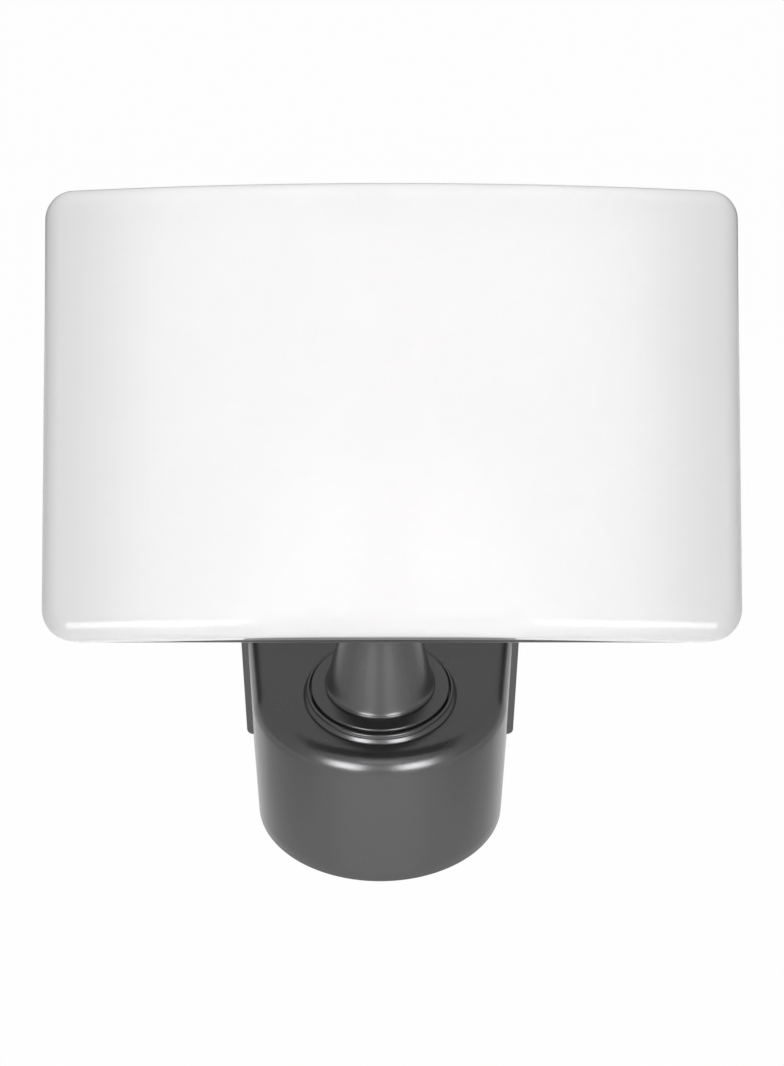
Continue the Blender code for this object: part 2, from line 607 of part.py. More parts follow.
def build_stem():
    """The pieces that swivel: disc, nut, stop pin, stem and knuckle."""
    disc_edge = arc((DISC_RADIUS - DISC_EDGE_RADIUS, -DISC_EDGE_RADIUS), DISC_EDGE_RADIUS, math.pi / 2, 0.0, 2)
    disc_profile = [*disc_edge, (DISC_RADIUS, -DISC_THICKNESS), (SPIGOT_RADIUS, -DISC_THICKNESS),
                    (SPIGOT_RADIUS, -SPIGOT_LENGTH), (SPIGOT_BORE, -SPIGOT_LENGTH), (SPIGOT_BORE, 0.0)]
    disc = turned_part("swivel_disc", disc_profile, GREY_PAINT, SWIVEL)
    sink = -DISC_THICKNESS + STEM_SCREW[1] + SCREW_HEAD_PLAY
    screw_holes = rods("disc_screw_holes", STEM_SCREW[2] + PIN_PLAY, -DISC_THICKNESS - CUT_OVERRUN, CUT_OVERRUN,
                       "Z", stem_screw_places())
    screw_sinks = rods("disc_screw_sinks", STEM_SCREW[0] + SCREW_HEAD_PLAY, -DISC_THICKNESS - CUT_OVERRUN, sink,
                       "Z", stem_screw_places())
    pin_top = STOP_PIN_SEAT - DISC_THICKNESS
    pin_place = [(0.0, STOP_CIRCLE)]
    pin_hole = rods("disc_pin_hole", STOP_PIN_RADIUS + PIN_PLAY, -DISC_THICKNESS - CUT_OVERRUN,
                    pin_top + SEAT_GAP, "Z", pin_place)
    join(disc, "DIFFERENCE", tool("disc_screw_holes", screw_holes, SWIVEL),
         tool("disc_screw_sinks", screw_sinks, SWIVEL), tool("disc_pin_hole", pin_hole, SWIVEL))
    part("stop_pin", rods("stop_pin", STOP_PIN_RADIUS, -DISC_THICKNESS - STOP_PIN_DROP, pin_top, "Z", pin_place),
         STEEL, SWIVEL)

    nut_top = BOSS_BOTTOM - 2 * SEAT_GAP - SPRING_DISH - SPRING_THICKNESS
    nut_part("retaining_nut", SWIVEL_NUT_ACROSS, nut_top - SWIVEL_NUT_HEIGHT, nut_top, SPIGOT_RADIUS + PIN_PLAY,
             "Z", (0.0, 0.0), STEEL, SWIVEL)

    stem = turned_part("stem", stem_profile(), GREY_PAINT, SWIVEL)
    thread_top = STEM_SCREW_DEPTH + PIN_PLAY
    threads = rods("stem_threads", STEM_SCREW[2] + PIN_PLAY, -CUT_OVERRUN, thread_top, "Z", stem_screw_places())
    pin_level = STEM_LENGTH - KNUCKLE_PIN_DROP
    cross_hole = rods("stem_cross_hole", KNUCKLE_PIN_RADIUS + PIN_PLAY, -STEM_RADIUS - CUT_OVERRUN,
                      STEM_RADIUS + CUT_OVERRUN, "X", [(0.0, pin_level)])
    cross_cut = tool("stem_cross_hole", cross_hole, SWIVEL)
    join(stem, "DIFFERENCE", tool("stem_threads", threads, SWIVEL), cross_cut)
    for count, place in enumerate(stem_screw_places(), start=1):
        screw_part(f"stem_screw_{count}", STEM_SCREW, STEM_SCREW_DEPTH - sink, STEEL, SWIVEL,
                   (*place, sink - SEAT_GAP), "-Z")

    plug = rods("tilt_knuckle", STEM_BORE - PIN_PLAY, STEM_LENGTH - PLUG_LENGTH,
                KNUCKLE_FOOT + SHOULDER_HEIGHT / 2, "Z", [(0.0, 0.0)], sides=ROUND_STEPS)
    knuckle = part("tilt_knuckle", plug, GREY_PAINT, SWIVEL)
    shoulder = rods("knuckle_shoulder", STEM_RADIUS, KNUCKLE_FOOT, KNUCKLE_FOOT + SHOULDER_HEIGHT, "Z",
                    [(0.0, 0.0)], sides=ROUND_STEPS)
    outline = tongue_outline(KNUCKLE_FOOT + SHOULDER_HEIGHT / 2)
    tongue = to_mesh("knuckle_tongue", prism(outline, -LAP_OUTER, -LAP, axis="X"))
    bolt_hole = rods("knuckle_bolt_hole", BOLT_RADIUS + PIN_PLAY, -LAP_OUTER - CUT_OVERRUN, CUT_OVERRUN, "X",
                     [(0.0, HINGE_RISE)], sides=24)
    join(knuckle, "UNION", tool("knuckle_shoulder", shoulder, SWIVEL), tool("knuckle_tongue", tongue, SWIVEL))
    join(knuckle, "DIFFERENCE", tool("knuckle_bolt_hole", bolt_hole, SWIVEL), cross_cut)
    part("knuckle_pin", rods("knuckle_pin", KNUCKLE_PIN_RADIUS, -STEM_RADIUS + PIN_PLAY, STEM_RADIUS - PIN_PLAY,
                             "X", [(0.0, pin_level)]), STEEL, SWIVEL)


# Head


def head_half_width(up):
    """Half the head's width at a height above its middle."""
    share = up / HEAD_HEIGHT + 0.5
    return HEAD_BOTTOM_HALF_WIDTH + share * (HEAD_TOP_HALF_WIDTH - HEAD_BOTTOM_HALF_WIDTH)


def face_depth(across):
    """The depth of the crowned face at a distance from the head's middle."""
    return FACE + HEAD_CROWN * (across / HEAD_TOP_HALF_WIDTH) ** 2


def head_rows(inset):
    """The head's tapered outline as a lower and an upper row of points, each from left to right.

    A row is one corner's arc, evenly spaced stations along the edge, then the other corner's arc.
    """
    lean = math.atan2(HEAD_TOP_HALF_WIDTH - HEAD_BOTTOM_HALF_WIDTH, HEAD_HEIGHT)
    rows = []
    for side, radius in ((-1, HEAD_BOTTOM_CORNER), (1, HEAD_TOP_CORNER)):
        level = side * (HEAD_HEIGHT / 2 - radius)
        centre = head_half_width(level) - radius / math.cos(lean)
        corner = arc((centre, level), radius - inset, side * math.pi / 2, -lean, ARC_STEPS)
        stations = [centre * (2 * column / HEAD_COLUMNS - 1) for column in range(1, HEAD_COLUMNS)]
        edge = [(station, side * (HEAD_HEIGHT / 2 - inset)) for station in stations]
        rows.append([(-across, up) for across, up in reversed(corner)] + edge + corner)
    return rows


def head_block(name, front, back, inset, edge_radius=0.0, rounded="front", crown=0.0, arch=0.0):
    """The head's outline between two depths, with one rounded rim.

    The front is crowned by a parabola across the width, and the lower edge is arched by another.
    """
    lower, upper = head_rows(inset)
    shape = bmesh.new()
    rims = {}
    for end, depth, bow in (("front", front, crown), ("back", back, 0.0)):
        low, high = [], []
        for row, points in ((low, lower), (high, upper)):
            for across, up in points:
                share = (across / HEAD_TOP_HALF_WIDTH) ** 2
                lift = arch * (1.0 - share) * max(0.0, -2 * up / HEAD_HEIGHT)
                row.append(shape.verts.new((HEAD_OFFSET + across, depth + bow * share, up + lift)))
        last = len(low) - 1 - ARC_STEPS
        for first in range(ARC_STEPS, last):
            shape.faces.new((low[first], low[first + 1], high[first + 1], high[first]))
        shape.faces.new(low[:ARC_STEPS + 1] + high[ARC_STEPS::-1])
        shape.faces.new(low[last:] + high[:last - 1:-1])
        rims[end] = low + high[::-1]
    front_rim, back_rim = rims["front"], rims["back"]
    for first in range(len(front_rim)):
        shape.faces.new((front_rim[first - 1], front_rim[first], back_rim[first], back_rim[first - 1]))
    bmesh.ops.recalc_face_normals(shape, faces=shape.faces)
    if edge_radius:
        loop = rims[rounded]
        rim = [shape.edges.get((loop[first - 1], loop[first])) for first in range(len(loop))]
        bmesh.ops.bevel(shape, geom=rim, offset=edge_radius, segments=ARC_STEPS, profile=0.5, affect="EDGES")
    return to_mesh(name, shape)


def shell_post_places():
    """Six screws round the head: the corners and the middles of the long edges."""
    rise = HEAD_HEIGHT / 2 - SHELL_POST_INSET
    return [(HEAD_OFFSET + across * (head_half_width(up * rise) - SHELL_POST_INSET), up * rise)
            for up in (-1, 1) for across in (-1, 0, 1)]


def bracket_screw_places():
    """Four screws at the corners of the bracket's plate."""
    side = BRACKET_WIDTH / 2 - BRACKET_SCREW_MARGIN
    rise = BRACKET_HEIGHT / 2 - BRACKET_SCREW_MARGIN
    return [(HEAD_OFFSET + across * side, up * rise) for up in (-1, 1) for across in (-1, 1)]


def bays():
    """The middle of each of the four bays of the array."""
    return [(HEAD_OFFSET + across * BAY_PITCH_ACROSS / 2, up * BAY_PITCH_UP / 2)
            for up in (-1, 1) for across in (-1, 1)]


def build_shells():
    """Radome, gasket, back shell and the screws that close them."""
    places = shell_post_places()
    radome = part("radome", head_block("radome", FACE, SPLIT, 0.0, RADOME_EDGE_RADIUS, crown=HEAD_CROWN,
                                       arch=HEAD_ARCH), WHITE_GLOSS, TILT)
    hollow = tool("radome_hollow", head_block("radome_hollow", FACE + HEAD_WALL, SPLIT + CUT_OVERRUN, HEAD_WALL,
                                              RADOME_EDGE_RADIUS - HEAD_WALL, crown=HEAD_CROWN, arch=HEAD_ARCH),
                  TILT)
    posts = rods("radome_posts", RADOME_POST_RADIUS, FACE - CUT_OVERRUN, SPLIT, "Y", places)
    join(hollow, "DIFFERENCE", tool("radome_posts", posts, TILT))
    shank = SHELL_SCREW[2] + PIN_PLAY
    seat = RIM + SHELL_POST_FLOOR
    tip = seat - SHELL_SCREW_LENGTH
    pilots = rods("radome_pilots", shank, tip - PIN_PLAY, SPLIT + CUT_OVERRUN, "Y", places)
    join(radome, "DIFFERENCE", hollow, tool("radome_pilots", pilots, TILT))

    gasket = part("gasket", head_block("gasket", SPLIT + SEAT_GAP, RIM - SEAT_GAP, GASKET_INSET), RUBBER, TILT)
    window = head_block("gasket_window", SPLIT - CUT_OVERRUN, RIM + CUT_OVERRUN, GASKET_INSET + GASKET_WIDTH)
    join(gasket, "DIFFERENCE", tool("gasket_window", window, TILT))

    shell = part("back_shell", head_block("back_shell", RIM, BACK, BACK_INSET, BACK_EDGE_RADIUS, rounded="back"),
                 DARK_PLASTIC, TILT)
    tray = tool("back_tray", head_block("back_tray", RIM - CUT_OVERRUN, INNER_BACK, BACK_INSET + HEAD_WALL,
                                        BACK_EDGE_RADIUS - HEAD_WALL, rounded="back"), TILT)
    shell_posts = rods("shell_posts", SHELL_POST_RADIUS, RIM, BACK + CUT_OVERRUN, "Y", places)
    join(tray, "DIFFERENCE", tool("shell_posts", shell_posts, TILT))
    sinks = rods("shell_sinks", SHELL_SCREW[0] + SCREW_HEAD_PLAY, seat, BACK + CUT_OVERRUN, "Y", places)
    drills = rods("shell_drills", shank, RIM - CUT_OVERRUN, BACK, "Y", places)
    bracket_drills = rods("shell_bracket_holes", BRACKET_SCREW[2] + PIN_PLAY, INNER_BACK - CUT_OVERRUN / 2,
                          BACK + CUT_OVERRUN, "Y", bracket_screw_places())
    socket_hole = rods("shell_socket_hole", SOCKET_RADIUS + PIN_PLAY, INNER_BACK - CUT_OVERRUN / 2,
                       BACK + CUT_OVERRUN, "Y", [(HEAD_OFFSET + SOCKET_ACROSS, -SOCKET_DOWN)], sides=24)
    join(shell, "DIFFERENCE", tray, tool("shell_sinks", sinks, TILT), tool("shell_drills", drills, TILT),
         tool("shell_bracket_holes", bracket_drills, TILT), tool("shell_socket_hole", socket_hole, TILT))
    for count, (across, up) in enumerate(places, start=1):
        screw_part(f"shell_screw_{count}", SHELL_SCREW, SHELL_SCREW_LENGTH, STEEL, TILT,
                   (across, seat + SEAT_GAP, up), "+Y")


def lug_outline():
    """The bracket's lug seen along the tilt axis: a round end, straight arms and a gusset at the plate."""
    foot = BRACKET_FRONT + BRACKET_THICKNESS / 2
    turn_in = BRACKET_BACK + GUSSET_REACH
    wide = HINGE_RADIUS + GUSSET_RISE
    end = arc((0.0, 0.0), HINGE_RADIUS, -math.pi / 2, math.pi / 2, 3 * ARC_STEPS)
    return [(foot, -wide), (turn_in, -HINGE_RADIUS), *end, (turn_in, HINGE_RADIUS), (foot, wide)]


def build_hinge():
    """The bracket with its lug, the tilt bolt, its washers and nut, and the bracket's screws."""
    spans = [(HEAD_OFFSET - BRACKET_WIDTH / 2, HEAD_OFFSET + BRACKET_WIDTH / 2), (BRACKET_FRONT, BRACKET_BACK),
             (-BRACKET_HEIGHT / 2, BRACKET_HEIGHT / 2)]
    bracket = part("head_bracket", rounded_plate("head_bracket", spans, "Y", BRACKET_CORNER), GREY_PAINT, TILT)
    lug = to_mesh("bracket_lug", prism(lug_outline(), LAP, LAP_OUTER, axis="X"))
    bolt_hole = rods("bracket_bolt_hole", BOLT_RADIUS + PIN_PLAY, -CUT_OVERRUN, LAP_OUTER + CUT_OVERRUN, "X",
                     [(0.0, 0.0)], sides=24)
    drills = rods("bracket_drills", BRACKET_SCREW[2] + PIN_PLAY, BRACKET_FRONT - CUT_OVERRUN,
                  BRACKET_BACK + CUT_OVERRUN, "Y", bracket_screw_places())
    join(bracket, "UNION", tool("bracket_lug", lug, TILT))
    join(bracket, "DIFFERENCE", tool("bracket_bolt_hole", bolt_hole, TILT), tool("bracket_drills", drills, TILT))
    screw_length = BRACKET_BACK + SEAT_GAP - (REFLECTOR_FRONT - REFLECTOR_THICKNESS)
    for count, (across, up) in enumerate(bracket_screw_places(), start=1):
        screw_part(f"bracket_screw_{count}", BRACKET_SCREW, screw_length, STEEL, TILT,
                   (across, BRACKET_BACK + SEAT_GAP, up), "+Y")

    washer_low = LAP_OUTER + SEAT_GAP
    nut_low = washer_low + TILT_WASHER_THICKNESS + SEAT_GAP
    nut_high = nut_low + TILT_NUT_HEIGHT
    head_low = LAP_OUTER + SEAT_GAP
    bore = BOLT_RADIUS + PIN_PLAY
    bolt = [(0.0, nut_high + BOLT_TAIL), (BOLT_RADIUS, nut_high + BOLT_TAIL), (BOLT_RADIUS, -head_low),
            (BOLT_HEAD_RADIUS, -head_low), (BOLT_HEAD_RADIUS, -head_low - BOLT_HEAD_HEIGHT / 2),
            (BOLT_HEAD_RADIUS * 0.7, -head_low - BOLT_HEAD_HEIGHT), (0.0, -head_low - BOLT_HEAD_HEIGHT)]
    turned_part("tilt_bolt", bolt, STEEL, TILT, closed=False, steps=24, axis="X")
    friction = tube_profile(bore, HINGE_RADIUS - SEAT_GAP, -FRICTION_THICKNESS / 2, FRICTION_THICKNESS / 2)
    turned_part("friction_washer", friction, NYLON, TILT, steps=24, axis="X")
    washer = tube_profile(bore, TILT_WASHER_RADIUS, washer_low, washer_low + TILT_WASHER_THICKNESS)
    turned_part("tilt_washer", washer, STEEL, TILT, steps=24, axis="X")
    nut_part("tilt_nut", TILT_NUT_ACROSS, nut_low, nut_high, bore, "X", (0.0, 0.0), STEEL, TILT)


def comb_outline(across):
    """One bay's boom with its two directors, seen from above: across the head, then back from its face."""
    outer = abs(across) + FIRST_DIRECTOR_LENGTH / 2
    tip = face_depth(outer) + HEAD_WALL + DIRECTOR_CLEARANCE
    foot = REFLECTOR_FRONT - SEAT_GAP
    half = BOOM_WIDTH / 2
    near = tip + DIRECTOR_WIDTH
    first = near + DIRECTOR_SPACING - DIRECTOR_WIDTH
    right = [(half, foot), (half, first + DIRECTOR_WIDTH), (FIRST_DIRECTOR_LENGTH / 2, first + DIRECTOR_WIDTH),
             (FIRST_DIRECTOR_LENGTH / 2, first), (half, first), (half, near), (SECOND_DIRECTOR_LENGTH / 2, near),
             (SECOND_DIRECTOR_LENGTH / 2, tip)]
    left = [(-side, depth) for side, depth in reversed(right)]
    return right + left


def dipole_points():
    """A folded dipole and its two feed legs as one wire, from the board and back to it."""
    board = BOARD_FRONT - SEAT_GAP
    front = REFLECTOR_FRONT - DIPOLE_SPACING
    feed = DIPOLE_FEED_GAP / 2
    end = DIPOLE_LENGTH / 2
    left = [(-feed, board, 0.0), (-feed, front, 0.0), (-end, front, 0.0), (-end, front, DIPOLE_FOLD)]
    return left + [(-across, depth, up) for across, depth, up in reversed(left)]


def wire_part(name, points, radius, material, parent, at):
    """A wire with round section along straight runs."""
    curve = bpy.data.curves.new(name, "CURVE")
    curve.dimensions = "3D"
    curve.bevel_depth = radius
    curve.bevel_resolution = 1
    curve.use_fill_caps = True
    spline = curve.splines.new("POLY")
    spline.points.add(len(points) - 1)
    for point, place in zip(spline.points, points):
        point.co = (*place, 1.0)
    curve.materials.append(material)
    wire = bpy.data.objects.new(name, curve)
    wire.location = at
    wire.parent = parent
    PARTS.objects.link(wire)
    return wire


def build_array():
    """Reflector, feed board, stand-offs, director combs, dipoles and the antenna socket."""
    drill = BRACKET_SCREW[2] + PIN_PLAY
    rise = HEAD_HEIGHT / 2 - SHELL_POST_INSET - SHELL_POST_RADIUS - REFLECTOR_MARGIN
    narrowest = min(HEAD_TOP_HALF_WIDTH, HEAD_BOTTOM_HALF_WIDTH)
    side = narrowest - SHELL_POST_INSET - SHELL_POST_RADIUS - REFLECTOR_MARGIN
    plate = boxes("reflector_plate", [[(HEAD_OFFSET - side, HEAD_OFFSET + side), (REFLECTOR_FRONT, REFLECTOR_BACK),
                                       (-rise, rise)]])
    reflector = part("reflector_plate", plate, ALUMINIUM, TILT)
    half_slot = DIPOLE_FEED_GAP / 2 + DIPOLE_WIRE + FEED_SLOT_PLAY
    half_rise = DIPOLE_WIRE + FEED_SLOT_PLAY
    through = (REFLECTOR_FRONT - CUT_OVERRUN / 2, REFLECTOR_BACK + CUT_OVERRUN / 2)
    slots = [[(across - half_slot, across + half_slot), through,
              (up + DIPOLE_RISE - half_rise, up + DIPOLE_RISE + half_rise)] for across, up in bays()]
    plate_drills = rods("reflector_drills", drill, *through, "Y", bracket_screw_places())
    join(reflector, "DIFFERENCE", tool("feed_slots", boxes("feed_slots", slots), TILT),
         tool("reflector_drills", plate_drills, TILT))

    board_spans = [(HEAD_OFFSET - BOARD_WIDTH / 2, HEAD_OFFSET + BOARD_WIDTH / 2), (BOARD_FRONT, BOARD_BACK),
                   (-BOARD_HEIGHT / 2, BOARD_HEIGHT / 2)]
    board = part("feed_board", boxes("feed_board", [board_spans]), LAMINATE, TILT)
    board_drills = rods("board_drills", STANDOFF_RADIUS + BOARD_HOLE_PLAY, BOARD_FRONT - CUT_OVERRUN / 2,
                        BOARD_BACK + CUT_OVERRUN / 2, "Y", bracket_screw_places())
    join(board, "DIFFERENCE", tool("board_drills", board_drills, TILT))
    standoff = tube_profile(drill, STANDOFF_RADIUS, STANDOFF_FRONT, STANDOFF_BACK)
    for count, (across, up) in enumerate(bracket_screw_places(), start=1):
        turned_part(f"standoff_{count}", standoff, ALUMINIUM, TILT, steps=SMALL_STEPS, at=(across, 0.0, up), axis="Y")

    for count, (across, up) in enumerate(bays(), start=1):
        outline = [(across + point, depth) for point, depth in comb_outline(across - HEAD_OFFSET)]
        comb = prism(outline, up - COMB_THICKNESS / 2, up + COMB_THICKNESS / 2)
        part(f"director_comb_{count}", to_mesh(f"director_comb_{count}", comb), ALUMINIUM, TILT)
        wire_part(f"dipole_{count}", dipole_points(), DIPOLE_WIRE, BRASS, TILT, (across, 0.0, up + DIPOLE_RISE))

    flange_front = BOARD_BACK + SEAT_GAP
    flange_back = INNER_BACK - SEAT_GAP
    end = BACK + SOCKET_LENGTH
    pit = end - SOCKET_BORE_DEPTH
    socket = [(SOCKET_BORE, end), (SOCKET_RADIUS, end), (SOCKET_RADIUS, flange_back), (SOCKET_FLANGE, flange_back),
              (SOCKET_FLANGE, flange_front), (0.0, flange_front)]
    socket = [(0.0, pit), (SOCKET_BORE, pit)] + socket
    turned_part("coax_socket", socket, BRASS, TILT, closed=False, steps=24,
                at=(HEAD_OFFSET + SOCKET_ACROSS, 0.0, -SOCKET_DOWN), axis="Y")
    nut_part("socket_nut", SOCKET_NUT_ACROSS, BACK + SEAT_GAP, BACK + SEAT_GAP + SOCKET_NUT_HEIGHT,
             SOCKET_RADIUS + PIN_PLAY, "Y", (HEAD_OFFSET + SOCKET_ACROSS, -SOCKET_DOWN), STEEL, TILT)


build_base()
build_stem()
build_shells()
build_hinge()
build_array()
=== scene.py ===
"""Looks of the enclosed yagi antenna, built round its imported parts.

Lengths are metres in the frame of the parts: the wall is the plane y = 0, z is up, and the antenna faces -y.
Base and stem pieces are worked out from SWIVEL_POINT, where the turning disc's top meets the swivel axis.
Head pieces are worked out from TILT_POINT on the tilt axis, facing -y, and in_head() then leans them back.
"""
import math

import bmesh
import bpy
import numpy as np
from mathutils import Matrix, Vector
from mathutils.geometry import delaunay_2d_cdt


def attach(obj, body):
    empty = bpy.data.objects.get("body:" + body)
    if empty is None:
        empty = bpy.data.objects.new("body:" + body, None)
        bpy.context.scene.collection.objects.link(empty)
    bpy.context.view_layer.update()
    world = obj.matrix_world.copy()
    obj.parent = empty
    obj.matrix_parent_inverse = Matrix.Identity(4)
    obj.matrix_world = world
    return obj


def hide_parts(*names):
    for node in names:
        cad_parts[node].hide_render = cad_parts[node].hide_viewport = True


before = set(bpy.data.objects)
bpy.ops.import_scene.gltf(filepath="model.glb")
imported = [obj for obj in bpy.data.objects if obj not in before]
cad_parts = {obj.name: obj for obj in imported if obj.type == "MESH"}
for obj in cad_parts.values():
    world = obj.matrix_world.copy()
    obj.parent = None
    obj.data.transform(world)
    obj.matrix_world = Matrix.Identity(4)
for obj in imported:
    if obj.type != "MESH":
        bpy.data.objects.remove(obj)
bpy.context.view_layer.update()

SWIVEL_POINT = np.array((0.0, -0.066, 0.05165))
TILT_POINT = np.array((0.0, -0.066, 0.20745))
HEAD_TILT = math.radians(42)
SEAT_GAP = 0.0003
PLAY = 0.0003

# Base and swivel
BODY_HALF = 0.0700
BODY_BACK_HALF = 0.0776
BODY_REACH = 0.0550
TO_PLATE = 0.0620
BODY_TOP = -0.0068
BODY_BOTTOM = BODY_TOP - 0.0897
BODY_ROLL = 0.0115
BODY_WALL = 0.0035
CEILING = BODY_TOP - 0.0040
COVER_TOP = BODY_BOTTOM + 0.0030
COVER_SEAT = BODY_BOTTOM + 0.0020
COVER_HOLE = 0.0018
PLATE_HALF = 0.0814
PLATE_THICK = 0.0040
LIP_THICK = 0.0025
DISC_RADIUS = 0.0376
DISC_THICK = 0.0042
SPIGOT_RADIUS = 0.0147
SPIGOT_HOLE = 0.0150
RING_INNER = 0.0386
RING_OUTER = 0.0420
BUSH_HOLE = 0.0183

# Stem
STEM_LENGTH = 0.1335
STEM_RADIUS = 0.0175
STEM_BORE = 0.0125
PIN_LEVEL = STEM_LENGTH - 0.0130
HINGE_RISE = 0.1558
HINGE_RADIUS = 0.0170
HINGE_BORE = 0.0052
LAP = 0.0010
LAP_OUTER = 0.0120

# Head
HEAD_OFFSET = 0.0052
HEAD_HEIGHT = 0.2044
HEAD_TOP_HALF = 0.1574
HEAD_BOTTOM_HALF = 0.1538
TOP_CORNER = 0.0128
BOTTOM_CORNER = 0.0152
CROWN = 0.0120
ARCH = 0.0016
FACE = -0.0820
SPLIT = -0.0520
RIM = -0.0500
BACK = -0.0320
INNER_BACK = -0.0345
RADOME_ROLL = 0.0090
RADOME_WALL = 0.0025
BACK_INSET = 0.0011
BACK_ROLL = 0.0080
SHELL_SEAT = RIM + 0.0040
BRACKET_THICK = 0.0050
BRACKET_HOLE = 0.0022
SOCKET_HOLE = 0.0051


def in_base(points):
    """Base and stem points, written from the swivel point, moved into the parts' frame."""
    return points + SWIVEL_POINT


def in_head(points):
    """Head points, written from the tilt point, leant back about the x axis and moved into place."""
    lean, rise = math.cos(HEAD_TILT), math.sin(HEAD_TILT)
    x, y, z = points[..., 0], points[..., 1], points[..., 2]
    return np.stack((x, y * lean + z * rise, z * lean - y * rise), axis=-1) + TILT_POINT


PLACING = {"wall_base": in_base, "stem": in_base, "head": in_head}

# Surfaces: a patch is an array of points and a list of face index arrays


def quads(rows, columns, loop_rows=False, loop_columns=False):
    """Faces of a grid: each cell joins a point to its three neighbours, wrapping round on a loop."""
    row = np.arange(rows if loop_rows else rows - 1)[:, None]
    column = np.arange(columns if loop_columns else columns - 1)[None, :]
    above, beside = (row + 1) % rows, (column + 1) % columns
    corners = (row * columns + column, row * columns + beside,
               above * columns + beside, above * columns + column)
    return np.stack(np.broadcast_arrays(*corners), axis=-1).reshape(-1, 4)


def sheet(grid, loop_rows=False, loop_columns=False):
    """A patch from a grid of points, rows by columns by three."""
    rows, columns = grid.shape[:2]
    return grid.reshape(-1, 3), [quads(rows, columns, loop_rows, loop_columns)]


def upright(flat, level, axis):
    """Flat points set at a level along one axis."""
    flat = np.asarray(flat, float)
    level = np.broadcast_to(level, flat.shape[:-1])
    first, second = flat[..., 0], flat[..., 1]
    order = {"X": (level, first, second), "Y": (first, level, second), "Z": (first, second, level)}
    return np.stack(order[axis], axis=-1)


def circle(radius, steps=48, centre=(0.0, 0.0)):
    """Points evenly round a circle."""
    turn = np.linspace(0.0, 2 * math.pi, steps, endpoint=False)
    return np.stack((np.cos(turn), np.sin(turn)), axis=-1) * radius + np.asarray(centre)


def arc(centre, radius, start, end, steps):
    """Points on an arc between two angles in degrees."""
    turn = np.radians(np.linspace(start, end, steps))
    return np.stack((np.cos(turn), np.sin(turn)), axis=-1) * radius + np.asarray(centre)


def rounded_box(half_width, half_height, radius, centre=(0.0, 0.0), steps=9):
    """A rectangle's outline with round corners, counter-clockwise."""
    side, rise = half_width - radius, half_height - radius
    corners = ((side, -rise, -90), (side, rise, 0), (-side, rise, 90), (-side, -rise, 180))
    arcs = [arc((x, y), radius, start, start + 90, steps) for x, y, start in corners]
    return np.concatenate(arcs) + np.asarray(centre)


def unit(vectors):
    """Vectors scaled to a length of one."""
    return vectors / np.linalg.norm(vectors, axis=1, keepdims=True)


def bend(start, corner, end, late):
    """The quadratic curve from start to end with the corner as its control point."""
    return (1 - late) ** 2 * start + 2 * late * (1 - late) * corner + late ** 2 * end


def eased(corners, steps=5):
    """A profile from (across, up, radius) corners: each is cut back by its radius and drawn as a bend."""
    points = np.array(corners, float)
    place, radius = points[:, :2], points[:, 2:]
    before = np.roll(place, 1, axis=0) - place
    after = np.roll(place, -1, axis=0) - place
    before /= np.linalg.norm(before, axis=1, keepdims=True) + 1e-12
    after /= np.linalg.norm(after, axis=1, keepdims=True) + 1e-12
    late = np.linspace(0.0, 1.0, steps)[None, :, None]
    start = (place + before * radius)[:, None]
    end = (place + after * radius)[:, None]
    curve = bend(start, place[:, None], end, late)
    keep = np.broadcast_to(radius[:, None] > 0, curve.shape[:2] + (1,))[..., 0].copy()
    keep[:, 0] = True
    return curve[keep]


def turned(profile, steps=64, axis="Z", centre=(0.0, 0.0), looped=False):
    """A profile of (radius, level) points carried round an axis."""
    profile = np.asarray(profile, float)
    ring = circle(1.0, steps)[:, None, :] * profile[None, :, :1] + np.asarray(centre)
    return sheet(upright(ring, profile[None, :, 1], axis), loop_rows=True, loop_columns=looped)


def rings(pairs, steps):
    """Rows of radius and level from pairs of them, each a number or given for every step round an axis."""
    return [np.stack([np.broadcast_to(value, steps) for value in values]) for values in zip(*pairs)]


def lathed(radius, level, axis, centre=(0.0, 0.0)):
    """Rows of radius and level, each given for every step round an axis, as one surface."""
    steps = radius.shape[1]
    ring = circle(1.0, steps)[None] * radius[..., None] + np.asarray(centre)
    return sheet(upright(ring, level, axis), loop_columns=True)


def drawn_in(loop, distance):
    """A closed outline moved in by a distance along the mitre of its two edges at each point."""
    step = np.roll(loop, -1, axis=0) - loop
    normal = unit(np.stack((step[:, 1], -step[:, 0]), axis=-1))
    last = np.roll(normal, 1, axis=0)
    mitre = (normal + last) / (1.0 + np.sum(normal * last, axis=1, keepdims=True))
    return loop - distance * mitre


def flat_face(loops, level, axis):
    """A flat patch inside the first outline and outside the others, triangulated between their points."""
    points = np.concatenate(loops)
    sizes = [len(loop) for loop in loops]
    firsts = np.concatenate(([0], np.cumsum(sizes)[:-1]))
    around = [first + np.stack((np.arange(size), (np.arange(size) + 1) % size), axis=-1)
              for first, size in zip(firsts, sizes)]
    edges = np.concatenate(around).tolist()
    found = delaunay_2d_cdt(list(map(Vector, points.tolist())), edges, [], 1, 1e-9)
    corners = np.array([tuple(corner) for corner in found[0]])
    faces = np.array(found[2])
    middle = corners[faces].mean(axis=1)
    outside = np.zeros(len(faces), bool)
    for loop in loops[1:]:
        outside |= within(middle, loop)
    return upright(corners, level, axis), [faces[~outside]]


def within(points, loop):
    """Whether points lie inside an outline, by counting its edges to their right."""
    start, end = loop[None], np.roll(loop, -1, axis=0)[None]
    x, y = points[:, None, 0], points[:, None, 1]
    crosses = (start[..., 1] > y) != (end[..., 1] > y)
    rise = np.where(end[..., 1] == start[..., 1], 1.0, end[..., 1] - start[..., 1])
    edge = start[..., 0] + (y - start[..., 1]) * (end[..., 0] - start[..., 0]) / rise
    return np.sum(crosses & (x < edge), axis=1) % 2 == 1


